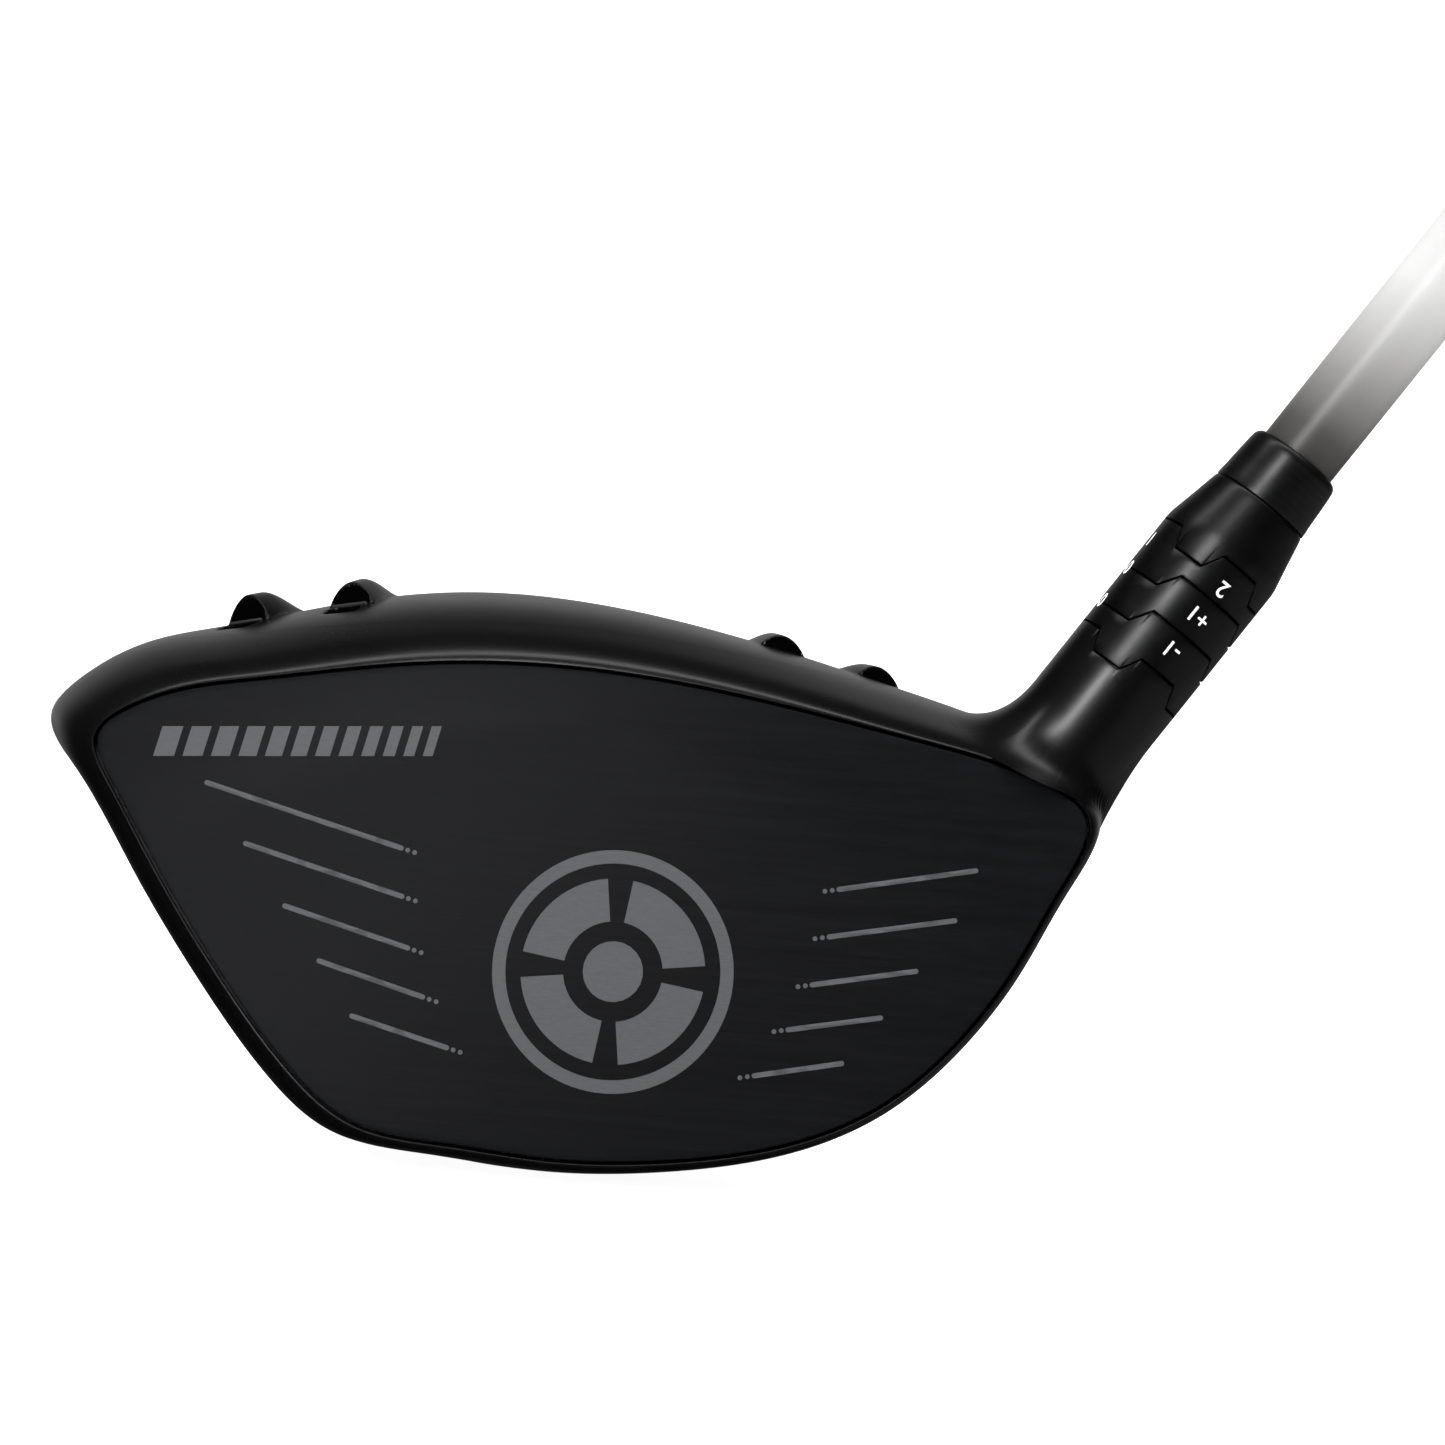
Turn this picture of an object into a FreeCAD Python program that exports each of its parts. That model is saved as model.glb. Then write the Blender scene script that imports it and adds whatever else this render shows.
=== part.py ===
"""Golf driver: hollow bonded head, adjustable hosel stack, tapered shaft and rubber grip.

Frame: the club stands at address. +X runs towards the heel, -Y towards the target, +Z up.
The origin is the middle of the small flat on the sole that the head rests on.
Every length is in millimetres.
"""
import FreeCAD, Part
import math
import os
import re

import Sketcher
from FreeCAD import Placement, Rotation, Vector

doc = FreeCAD.newDocument("golf_driver")

# ---------------------------------------------------------------- driving dimensions

DIMENSIONS = {
    # head, outside
    "loft_angle": 10.0,             # face lean from the vertical, degrees
    "face_radius": 305.0,           # bulge and roll are one sphere
    "face_centre_y": -24.4,
    "face_centre_z": 30.0,
    "head_depth": 105.0,            # from the face centre to the tail
    "toe_reach": 69.6,              # widest point towards the toe
    "heel_reach": 55.5,             # widest point towards the heel
    "crown_height": 66.6,
    "head_centre_x": -5.5,          # mid-width of the rear of the head
    # head, walls and joints
    "wall": 1.0,
    "front_wall": 5.2,              # face plate and the ledge behind it
    "plate_thickness": 3.0,
    "plate_gap": 0.35,              # open groove round the face plate
    "ledge_width": 3.0,
    "bond_gap": 0.12,               # adhesive line under a bonded panel
    "crown_panel": 1.2,
    "sole_panel": 0.8,
    "panel_seam": 0.1,              # open line round a bonded panel
    "panel_ledge": 1.1,             # thickness of the bonding ledge
    "panel_overlap": 6.0,           # width of the bonding ledge
    "bump_radius": 2.9,             # crown turbulators
    "bump_recess": 2.3,
    "bump_length": 14.0,
    # hosel axis: leaves the ground at (hosel_x, hosel_y, 0) and leans to the heel
    "lie_angle": 56.0,
    "hosel_x": 14.3,
    "hosel_y": -6.0,
    "hosel_radius": 7.7,
    "fit_gap": 0.05,                # radial clearance of the sleeve and the threads
    "seam_gap": 0.15,               # open line between the index rings
    # heights along the hosel axis
    "well_start": 8.5,
    "well_top": 16.0,
    "screw_seat": 24.0,
    "web_top": 28.0,
    "bore_start": 40.0,
    "sleeve_tip": 42.0,
    "shaft_tip": 54.0,
    "seam_four": 74.9,
    "seam_three": 80.1,
    "seam_two": 85.3,
    "seam_one": 90.1,
    "tooth_rise": 2.5,
    "collar_start": 93.6,
    "collar_top": 100.6,
    "ferrule_top": 107.7,
    "grip_start": 880.0,
    "shaft_butt": 1145.0,
    "club_length": 1149.4,
    # radii about the hosel axis
    "well_radius": 4.8,
    "chamber_radius": 4.5,
    "web_hole": 2.75,
    "sleeve_radius": 5.75,
    "collar_radius": 6.25,
    "shaft_socket": 4.7,
    "shaft_tip_radius": 4.65,
    "shaft_neck_radius": 4.8,
    "shaft_butt_radius": 7.62,
    "tip_wall": 1.85,
    "butt_wall": 0.95,
    "four_tooth_half": 3.25,        # half widths of the dog teeth at half height
    "two_tooth_half": 5.4,
    "tooth_ramp": 1.25,
    "tooth_turn": 20.0,             # index angle of the front teeth from the target side
    # screw that holds the sleeve
    "screw_head_radius": 4.2,
    "screw_head_height": 6.0,
    "screw_shank": 2.45,
    "screw_end": 51.0,
    "washer_thickness": 0.9,
    "retainer_radius": 4.1,
    "retainer_height": 1.8,
    # head weights
    "weight_radius": 7.2,
    "weight_head": 4.3,
    "weight_shank": 3.0,
    "port_depth": 12.0,
    "port_radius": 7.5,
    "port_wall": 1.7,
    "seal_thickness": 0.8,
    "seal_radius": 6.8,
    "rear_weight_z": 28.5,
    "front_weight_y": 24.0,
    "front_weight_z": 1.5,
    "lobe_radius": 0.62,            # six-lobe driver socket
    "lobe_circle": 2.1,
    "socket_depth": 2.6,
    # grip
    "tape_thickness": 0.3,
    "grip_mouth_radius": 9.6,
    "grip_waist_radius": 10.4,
    "grip_butt_radius": 13.3,
    "cap_radius": 13.9,
    "vent_radius": 1.5,
}

sheet = doc.addObject("Spreadsheet::Sheet", "dims")
for row, (alias, number) in enumerate(DIMENSIONS.items(), start=1):
    sheet.set(f"A{row}", alias.replace("_", " "))
    sheet.set(f"B{row}", str(number))
    sheet.setAlias(f"B{row}", alias)
doc.recompute()


def size(alias):
    """The number in the sheet cell with this alias."""
    return float(sheet.get(alias))


def formula(text):
    """Write plain aliases as references to the sheet."""
    return re.sub(r"\b[a-z][a-z_]*\b", r"dims.\g<0>", text)


def bind(obj, prop, text):
    """Bind a property to a formula of sheet aliases."""
    obj.setExpression(prop, formula(text))


nodes = {}


def keep(node, obj, placement=None):
    """Register an object as the sub-part that is written under this name."""
    obj.Label = node
    if placement is not None:
        obj.Placement = placement
    nodes[node] = obj
    return obj


# ---------------------------------------------------------------- building blocks

def origin_plane(body, role):
    """One of a body's own origin planes."""
    return next(item for item in body.Origin.OriginFeatures if item.Role == role)


def lathe(node, profile):
    """Body of revolution about its own Z axis.

    profile is a closed loop of (radius, height) formulas, each bound to the sheet.
    """
    body = doc.addObject("PartDesign::Body", f"{node}_body")
    sketch = body.newObject("Sketcher::SketchObject", f"{node}_profile")
    sketch.AttachmentSupport = [(origin_plane(body, "XZ_Plane"), "")]
    sketch.MapMode = "FlatFace"
    count = len(profile)
    points = []
    for radius, height in profile:
        x = sheet.evalExpression(formula(radius))
        y = sheet.evalExpression(formula(height))
        points.append(Vector(float(x), float(y), 0))
    for index in range(count):
        sketch.addGeometry(Part.LineSegment(points[index], points[(index + 1) % count]))
    for index in range(count):
        sketch.addConstraint(Sketcher.Constraint("Coincident", index, 2, (index + 1) % count, 1))
    for index, (radius, height) in enumerate(profile):
        for kind, text, value in (("DistanceX", radius, points[index].x),
                                  ("DistanceY", height, points[index].y)):
            number = sketch.addConstraint(Sketcher.Constraint(kind, -1, 1, index, 1, value))
            bind(sketch, f"Constraints[{number}]", text)
    turn = body.newObject("PartDesign::Revolution", f"{node}_turned")
    turn.Profile = sketch
    turn.ReferenceAxis = (sketch, ["V_Axis"])
    turn.Angle = 360
    sketch.Visibility = False
    return body


def socket(body, node, height, upward):
    """Cut a six-lobe driver socket into a turned body, from a face at this height."""
    base = body.Tip
    pockets = []
    for name, radius, offset in (("core", "lobe_circle", 0), ("lobe", "lobe_radius", 1)):
        sketch = body.newObject("Sketcher::SketchObject", f"{node}_{name}_sketch")
        sketch.AttachmentSupport = [(origin_plane(body, "XY_Plane"), "")]
        sketch.MapMode = "FlatFace"
        bind(sketch, "AttachmentOffset.Base.z", height)
        centre = Vector(offset * size("lobe_circle"), 0, 0)
        sketch.addGeometry(Part.Circle(centre, Vector(0, 0, 1), size(radius)))
        number = sketch.addConstraint(Sketcher.Constraint("Radius", 0, size(radius)))
        bind(sketch, f"Constraints[{number}]", radius)
        sketch.addConstraint(Sketcher.Constraint("PointOnObject", 0, 3, -1))
        number = sketch.addConstraint(Sketcher.Constraint("DistanceX", -1, 1, 0, 3, centre.x))
        bind(sketch, f"Constraints[{number}]", f"{offset} * lobe_circle")
        pocket = body.newObject("PartDesign::Pocket", f"{node}_{name}")
        pocket.Profile = sketch
        bind(pocket, "Length", "socket_depth")
        pocket.Reversed = upward
        sketch.Visibility = False
        pockets.append((pocket, sketch))
    doc.recompute()
    lobe, lobe_sketch = pockets[1]
    pattern = body.newObject("PartDesign::PolarPattern", f"{node}_lobes")
    pattern.Originals = [lobe]
    pattern.Axis = (lobe_sketch, ["N_Axis"])
    pattern.Angle = 360
    pattern.Occurrences = 6
    body.Tip = pattern
    doc.recompute()
    if pattern.Shape.Volume >= base.Shape.Volume:
        raise RuntimeError(f"{node}: the socket cut nothing")
    return body


def cylinder(name, radius, start, end):
    """Bound cylinder about its own Z axis, between two heights."""
    obj = doc.addObject("Part::Cylinder", name)
    bind(obj, "Radius", radius)
    bind(obj, "Height", f"({end}) - ({start})")
    bind(obj, "Placement.Base.z", start)
    return obj


def join(name, pieces):
    """Union of several objects."""
    obj = doc.addObject("Part::MultiFuse", name)
    obj.Shapes = pieces
    return obj


def cut(name, base, tool):
    """Base object with the tool taken away."""
    obj = doc.addObject("Part::Cut", name)
    obj.Base = base
    obj.Tool = tool
    return obj


def common(name, pieces):
    """Space that all the objects share."""
    obj = doc.addObject("Part::MultiCommon", name)
    obj.Shapes = pieces
    return obj


def feature(name, shape):
    """Document object for a shape that neither sketches nor primitives describe."""
    obj = doc.addObject("Part::Feature", name)
    obj.Shape = shape
    return obj


def tongues(name, seam, half_width, turns, clearance):
    """Tapered bars across the hosel axis: the dog teeth of one seam.

    With clearance they are the slots that the teeth stand in.
    """
    bars = []
    for number, turn in enumerate(turns):
        bar = doc.addObject("Part::Wedge", f"{name}_bar_{number}")
        bind(bar, "Ymin", seam)
        bind(bar, "Ymax", f"{seam} + tooth_rise + {clearance}")
        for side, sign in (("min", "-"), ("max", "")):
            bind(bar, f"X{side}", f"{sign}({half_width} + tooth_ramp / 2 + {clearance})")
            bind(bar, f"X2{side}", f"{sign}({half_width} - tooth_ramp / 2 + {clearance})")
            bind(bar, f"Z{side}", f"{sign}(hosel_radius * 1.5)")
            bind(bar, f"Z2{side}", f"{sign}(hosel_radius * 1.5)")
        upright = Rotation(Vector(1, 0, 0), 90)
        bar.Placement = Placement(Vector(), Rotation(Vector(0, 0, 1), turn) * upright)
        bars.append(bar)
    return bars[0] if len(bars) == 1 else join(name, bars)


def spline_loop(points, stops=None, halfway=None):
    """Closed smooth wire through the points, as two edges that meet at the first point
    and at the halfway point.

    stops are the curve parameters of the points; by default they follow the chord lengths.
    """
    if stops is None:
        stops = chord_stops([(point.x, point.y, point.z) for point in points])
    if halfway is None:
        halfway = len(points) // 2
    curve = Part.BSplineCurve()
    curve.interpolate(Points=points, PeriodicFlag=True, Parameters=stops)
    return Part.Wire([curve.toShape(stops[0], stops[halfway]),
                      curve.toShape(stops[halfway], stops[-1])])


def chord_stops(points):
    """Running length round a closed loop of points, from 0 to 1."""
    lengths = [math.dist(point, points[(index + 1) % len(points)])
               for index, point in enumerate(points)]
    whole = sum(lengths)
    return [sum(lengths[:index]) / whole for index in range(len(points))] + [1.0]


def grown(points, distance):
    """Plane loop of (a, b) points, each moved outwards by a distance."""
    count = len(points)
    area = sum(points[i][0] * points[(i + 1) % count][1] - points[(i + 1) % count][0] * points[i][1]
               for i in range(count))
    sign = 1 if area > 0 else -1
    result = []
    for index, (a, b) in enumerate(points):
        before = points[index - 1]
        after = points[(index + 1) % count]
        run_a = after[0] - before[0]
        run_b = after[1] - before[1]
        length = math.hypot(run_a, run_b) * sign
        result.append((a + distance * run_b / length, b - distance * run_a / length))
    return result


# ---------------------------------------------------------------- head surface

# Face outline at the groove, from the toe corner over the top, heel, bottom and back (x, z).
FACE_OUTLINE = [
    (-61.3, 46.0), (-58.1, 49.0), (-43.2, 53.5), (-26.0, 56.6), (-8.0, 57.7), (11.5, 56.1),
    (33.6, 52.4), (47.1, 49.1), (52.4, 45.6), (49.8, 36.9), (45.0, 27.4), (39.1, 18.9),
    (30.5, 11.0), (21.6, 6.7), (8.8, 3.8), (-5.0, 2.8), (-17.0, 3.5), (-28.0, 5.1),
    (-35.3, 10.3), (-43.0, 18.7), (-51.4, 29.5), (-59.0, 40.4),
]
HEEL_CORNER = 8                 # place of the heel corner in the outline
# Stations behind the face: depth, toe and heel reach and crown as shares of the driving
# sizes, height of the sole, and height of the widest line.
STATIONS = [
    (-0.091, 0.780, 0.870, 0.760, 8.00, 44.0),
    (0.000, 0.893, 0.957, 0.886, 1.90, 46.0),
    (0.014, 0.917, 0.969, 0.906, 1.40, 46.3),
    (0.040, 0.945, 0.979, 0.930, 0.90, 46.8),
    (0.091, 0.973, 0.990, 0.962, 0.35, 47.5),
    (0.180, 0.998, 0.998, 0.988, -0.80, 48.0),
    (0.300, 1.000, 0.980, 1.000, -0.50, 47.6),
    (0.440, 0.965, 0.925, 0.985, 1.20, 46.0),
    (0.600, 0.882, 0.825, 0.910, 4.30, 43.0),
    (0.760, 0.735, 0.660, 0.785, 8.80, 39.5),
    (0.880, 0.580, 0.490, 0.672, 13.00, 36.0),
    (0.955, 0.450, 0.350, 0.605, 16.20, 33.0),
    (1.000, 0.340, 0.240, 0.568, 19.00, 30.5),
]
SHAPE_BLEND_DEPTH = 0.45        # depth share where the face outline has become an oval
OVAL_POWER_CROWN = 1.5
OVAL_POWER_SOLE = 1.7
CROWN_LEAN = 0.38               # sideways lean of the crown's ridge towards the toe
RIM_TUCK = 0.15                 # how far the sides draw in under the rim, as a share
BODY_TUCK = 0.13                # the same again where the section has become an oval
TUCK_DEPTH = 0.14

lean = math.radians(size("loft_angle"))
ball_centre = Vector(0,
                     size("face_centre_y") + size("face_radius") * math.cos(lean),
                     size("face_centre_z") - size("face_radius") * math.sin(lean))


def face_y(x, z):
    """Y of the face sphere at a point of the face."""
    drop = (z - ball_centre.z) ** 2 + x ** 2
    return ball_centre.y - math.sqrt(size("face_radius") ** 2 - drop)


def ease(share):
    """Smooth step from 0 to 1."""
    share = min(max(share, 0.0), 1.0)
    return share * share * (3 - 2 * share)


def face_box():
    """Extremes of the face outline: toe, heel, top and bottom."""
    across = [point[0] for point in FACE_OUTLINE]
    upward = [point[1] for point in FACE_OUTLINE]
    return min(across), max(across), max(upward), min(upward)


def station_loop(station, inset):
    """Closed section of the head at one station, drawn in by an inset."""
    depth, toe, heel, crown, sole, waist = station
    toe = -toe * size("toe_reach") + inset
    heel = heel * size("heel_reach") - inset
    crown = crown * size("crown_height") - inset
    sole = sole + inset
    if depth == STATIONS[-1][0]:
        depth -= 1.5 * inset / size("head_depth")
    face_toe, face_heel, face_top, face_bottom = face_box()
    face_waist = STATIONS[1][5]
    blend = ease(depth / SHAPE_BLEND_DEPTH)
    curve = 1 - ease(depth / SHAPE_BLEND_DEPTH) if depth >= 0 else 0.0
    tuck = RIM_TUCK * ease(depth / TUCK_DEPTH) + BODY_TUCK * blend
    points = []
    for x, z in FACE_OUTLINE:
        across = (2 * x - face_toe - face_heel) / (face_heel - face_toe)
        upward = z - face_waist
        upward /= (face_top - face_waist) if upward > 0 else (face_waist - face_bottom)
        turn = math.atan2(upward, across)
        power = OVAL_POWER_CROWN if upward > 0 else OVAL_POWER_SOLE
        reach = (abs(math.cos(turn)) ** power + abs(math.sin(turn)) ** power) ** (-1 / power)
        across += blend * (reach * math.cos(turn) - across)
        upward += blend * (reach * math.sin(turn) - upward)
        if upward < 0:
            across *= 1 + tuck * upward * (1 + upward)
        px = (toe + heel) / 2 + across * (heel - toe) / 2
        pz = waist + upward * ((crown - waist) if upward > 0 else (waist - sole))
        px -= CROWN_LEAN * blend * max(pz - waist, 0.0)
        py = size("face_centre_y") + depth * size("head_depth")
        py += curve * (face_y(px, pz) - size("face_centre_y"))
        points.append(Vector(px, py, pz))
    return spline_loop(points, chord_stops(FACE_OUTLINE), HEEL_CORNER)


def head_form(inset):
    """Solid of the head, drawn in by an inset, before the face trims it."""
    loops = [station_loop(station, inset) for station in STATIONS]
    return Part.makeLoft(loops, True, False)


def face_ball(inset):
    """Ball whose skin is the face, drawn in by an inset."""
    return Part.makeSphere(size("face_radius") - inset, ball_centre)


def face_prism(growth, start, end):
    """Prism of the face outline along Y."""
    points = [Vector(x, start, z) for x, z in grown(FACE_OUTLINE, growth)]
    return Part.Face(spline_loop(points)).extrude(Vector(0, end - start, 0))


def plan_prism(outline, growth, start, end):
    """Upright prism of an outline in plan (x, y)."""
    points = [Vector(x, y, start) for x, y in grown(outline, growth)]
    return Part.Face(spline_loop(points)).extrude(Vector(0, 0, end - start))


CROWN_OUTLINE = [
    (-57.5, 2.0), (-45.0, -5.5), (-25.0, -10.5), (-5.0, -11.5), (15.0, -9.5), (31.0, -3.0),
    (39.5, 9.0), (39.5, 25.0), (31.0, 43.0), (16.0, 60.0), (-5.0, 70.0), (-27.0, 61.5),
    (-45.0, 45.5), (-56.5, 27.5), (-60.5, 13.0),
]
SOLE_OUTLINE = [
    (-26.0, 39.0), (-5.5, 37.0), (14.0, 39.0), (21.0, 45.0), (15.0, 58.0), (3.0, 69.0),
    (-5.5, 72.0), (-14.0, 69.0), (-27.0, 58.0), (-33.0, 45.0),
]

hosel_frame = Placement(Vector(size("hosel_x"), size("hosel_y"), 0),
                        Rotation(Vector(0, 1, 0), 90 - size("lie_angle")))
tail_y = size("face_centre_y") + size("head_depth")
rear_port_frame = Placement(
    Vector(size("head_centre_x") + 1.5, tail_y - size("port_depth"), size("rear_weight_z")),
    Rotation(Vector(1, 0, 0), -90))
front_port_frame = Placement(
    Vector(size("head_centre_x"), size("front_weight_y"),
           size("front_weight_z") + size("port_depth")),
    Rotation(Vector(1, 0, 0), 180))

outer_form = head_form(0.0)
above_ground = Part.makeBox(400, 400, 200, Vector(-200, -200, 0))
head_skin = outer_form.common(face_ball(0.0)).common(above_ground)


def neck_flare():
    """Fillet of the hosel into the crown: a loft that swells towards the toe and the rear."""
    radius = size("hosel_radius")
    swell = 4.6
    upper = Part.makeCircle(radius, Vector(0, 0, 70), Vector(0, 0, 1))
    lower = Part.makeCircle(radius + swell, Vector(-swell, swell, 53), Vector(0, 0, 1))
    flare = Part.makeLoft([Part.Wire(lower), Part.Wire(upper)], True, True)
    flare.Placement = hosel_frame
    return flare


def turned(radius, start, end, frame):
    """Cylinder between two heights of a frame."""
    solid = Part.makeCylinder(radius, end - start, Vector(0, 0, start))
    solid.Placement = frame
    return solid


def head_casting():
    """Hollow titanium body: walls, face ledge, panel ledges, hosel and weight bosses."""
    cavity = head_form(size("wall")).common(face_ball(size("front_wall")))
    cavity = cavity.common(above_ground.translated(Vector(0, 0, size("wall"))))
    recess = face_prism(size("plate_gap"), -60, 0).cut(face_ball(size("plate_thickness") + 0.1))
    window = face_prism(-size("ledge_width"), -60, 0)
    casting = head_skin.cut(cavity).cut(recess).cut(window)
    for outline, panel, low, high in ((CROWN_OUTLINE, "crown_panel", 42, 90),
                                      (SOLE_OUTLINE, "sole_panel", -10, 22)):
        depth = size(panel) + size("bond_gap")
        bed = head_form(depth)
        rim = plan_prism(outline, 2.0, low, high).cut(
            plan_prism(outline, -size("panel_overlap"), low, high))
        ledge = head_form(0.5 * size("wall")).common(rim).cut(
            head_form(depth + size("panel_ledge")))
        opening = plan_prism(outline, size("panel_seam"), low, high).cut(bed)
        casting = casting.fuse(ledge).cut(opening)
    inside = [turned(size("hosel_radius") - 0.6, -10, 60, hosel_frame)]
    boss = size("port_radius") + size("port_wall")
    for frame in (rear_port_frame, front_port_frame):
        inside.append(turned(boss, -1.0, size("port_depth") + 5, frame))
    bosses = [solid.common(head_skin) for solid in inside]
    barrel = turned(size("hosel_radius"), 50, size("seam_four"), hosel_frame)
    for solid in bosses + [barrel, neck_flare()]:
        casting = casting.fuse(solid)
    return casting


def port_cutters(name, frame):
    """Counterbore and thread bore of one weight port."""
    bore = cylinder(f"{name}_thread", "weight_shank + fit_gap", "-2", "port_depth")
    counterbore = cylinder(f"{name}_counterbore", "port_radius",
                           "port_depth - weight_head - seal_thickness", "port_depth + 8")
    tool = join(f"{name}_port", [bore, counterbore])
    tool.Placement = frame
    return tool


EIGHTH = 45.0
FOUR_TEETH = (size("tooth_turn"), size("tooth_turn") + 2 * EIGHTH)
TWO_TEETH = (size("tooth_turn"),)


def head_body():
    """The casting with its stepped hosel bore, weight ports and crown of hosel teeth."""
    casting = feature("head_casting", head_casting())
    steps = [
        ("mouth", "well_radius + 1.6", "-8", "well_start"),
        ("well", "well_radius", "well_start", "well_top"),
        ("chamber", "chamber_radius", "well_top", "screw_seat"),
        ("web", "web_hole", "screw_seat", "web_top"),
        ("relief", "chamber_radius", "web_top", "bore_start"),
        ("bore", "sleeve_radius + fit_gap", "bore_start", "seam_four + 10"),
    ]
    bores = join("hosel_bores", [cylinder(f"hosel_{name}", radius, start, end)
                                 for name, radius, start, end in steps])
    bores.Placement = hosel_frame
    teeth = common("hosel_teeth", [
        cylinder("hosel_tooth_blank", "hosel_radius", "seam_four", "seam_four + tooth_rise"),
        tongues("hosel_tongues", "seam_four", "four_tooth_half", FOUR_TEETH, "0"),
    ])
    teeth.Placement = hosel_frame
    solid = join("head_with_teeth", [casting, teeth])
    tools = join("head_cutters", [bores, port_cutters("rear", rear_port_frame),
                                  port_cutters("front", front_port_frame)])
    return cut("head_machined", solid, tools)


keep("head_body", head_body())

# ---------------------------------------------------------------- face, crown and sole


def face_plate():
    """Cup of constant thickness cut from the face sphere, inside the groove."""
    blank = face_prism(0.0, -60, 0).common(face_ball(0.0))
    return blank.cut(face_ball(size("plate_thickness")))


keep("face_plate", feature("face_plate_solid", face_plate()))

# Turbulators: place of the front recess (x, y) and the turn of the tail, in degrees.
BUMPS = [(-47.3, 4.0, 24.0), (-35.0, 1.5, 16.0), (16.6, 1.5, -16.0), (28.4, 4.0, -24.0)]


def turbulator(skin, x, y, turn):
    """Tapered bump on the crown with a round recess in its front."""
    probe = Part.makeLine(Vector(x, y, 45), Vector(x, y, 90))
    height = max(vertex.Z for vertex in skin.common(probe).Vertexes)
    radius = size("bump_radius")
    cone = Part.makeCone(radius, 0.5, size("bump_length"), Vector(), Vector(0, 1, 0))
    bowl = Part.makeSphere(size("bump_recess"), Vector(0, -0.6, 0))
    bump = cone.cut(bowl)
    bump.Placement = Placement(Vector(x, y, height + 0.1), Rotation(Vector(0, 0, 1), -turn))
    return bump


def crown_shell():
    """Composite panel bonded flush on the crown ledge, with its turbulators."""
    panel = outer_form.common(plan_prism(CROWN_OUTLINE, 0.0, 40, 90))
    for bump in BUMPS:
        panel = panel.fuse(turbulator(outer_form, *bump))
    return panel.cut(head_form(size("crown_panel")))


keep("crown_shell", feature("crown_panel_solid", crown_shell()))


def sole_plate():
    """Composite panel bonded flush on the sole ledge behind the front weight."""
    panel = outer_form.common(plan_prism(SOLE_OUTLINE, 0.0, -10, 22))
    return panel.cut(head_form(size("sole_panel")))


keep("sole_plate", feature("sole_panel_solid", sole_plate()))

# ---------------------------------------------------------------- weights and their seals


def weight(node, frame):
    """Screw-in weight: a chamfered disc on a threaded shank, with a six-lobe socket."""
    underside = "port_depth - weight_head"
    body = lathe(node, [
        ("0", "0.5"), ("weight_shank - 0.4", "0.5"), ("weight_shank", "0.9"),
        ("weight_shank", underside), ("weight_radius", underside),
        ("weight_radius", "port_depth - 0.5"), ("weight_radius - 0.5", "port_depth"),
        ("0", "port_depth"),
    ])
    return keep(node, socket(body, node, "port_depth", False), frame)


def seal(node, frame):
    """Flat ring under the weight."""
    low = "port_depth - weight_head - seal_thickness"
    high = "port_depth - weight_head"
    hole = "weight_shank + 2 * fit_gap"
    body = lathe(node, [(hole, low), ("seal_radius", low), ("seal_radius", high), (hole, high)])
    return keep(node, body, frame)


for side, frame in (("rear", rear_port_frame), ("front", front_port_frame)):
    weight(f"{side}_weight", frame)
    seal(f"{side}_weight_seal", frame)

# ---------------------------------------------------------------- hosel screw


def hosel_screw():
    """Captive screw with a six-lobe head that draws the sleeve into the hosel."""
    low = "screw_seat - washer_thickness - screw_head_height"
    high = "screw_seat - washer_thickness"
    body = lathe("hosel_screw", [
        ("0", low), ("screw_head_radius - 0.5", low), ("screw_head_radius", f"{low} + 0.5"),
        ("screw_head_radius", high), ("screw_shank", high), ("screw_shank", "screw_end - 0.6"),
        ("screw_shank - 0.6", "screw_end"), ("0", "screw_end"),
    ])
    return socket(body, "hosel_screw", low, True)


def flat_ring(node, hole, radius, low, high):
    """Plain ring between two heights."""
    return lathe(node, [(hole, low), (radius, low), (radius, high), (hole, high)])


keep("hosel_screw", hosel_screw(), hosel_frame)
keep("screw_washer",
     flat_ring("screw_washer", "screw_shank + fit_gap", "screw_head_radius",
               "screw_seat - washer_thickness", "screw_seat"), hosel_frame)
keep("screw_retainer",
     flat_ring("screw_retainer", "screw_shank + fit_gap", "retainer_radius",
               "web_top + 0.1", "web_top + 0.1 + retainer_height"), hosel_frame)

# ---------------------------------------------------------------- index rings and sleeve


def index_ring(node, low, low_half, low_turns, high, high_half, high_turns):
    """Ring with slots in its lower face and dog teeth on its upper face."""
    blank = cylinder(f"{node}_blank", "hosel_radius", f"{low} + seam_gap", high)
    crest = common(f"{node}_crest", [
        cylinder(f"{node}_crest_blank", "hosel_radius", high, f"{high} + tooth_rise"),
        tongues(f"{node}_teeth", high, high_half, high_turns, "0"),
    ])
    hole = cylinder(f"{node}_hole", "sleeve_radius + fit_gap", low, f"{high} + 10")
    slots = tongues(f"{node}_slots", low, low_half, low_turns, "seam_gap")
    solid = join(f"{node}_solid", [blank, crest])
    tools = join(f"{node}_tools", [hole, slots])
    return keep(node, cut(f"{node}_cut", solid, tools), hosel_frame)


FOUR = ("four_tooth_half", FOUR_TEETH)
TWO = ("two_tooth_half", TWO_TEETH)
index_ring("ring_lower", "seam_four", *FOUR, "seam_three", *TWO)
index_ring("ring_middle", "seam_three", *TWO, "seam_two", *TWO)
index_ring("ring_upper", "seam_two", *TWO, "seam_one", *FOUR)


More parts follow.
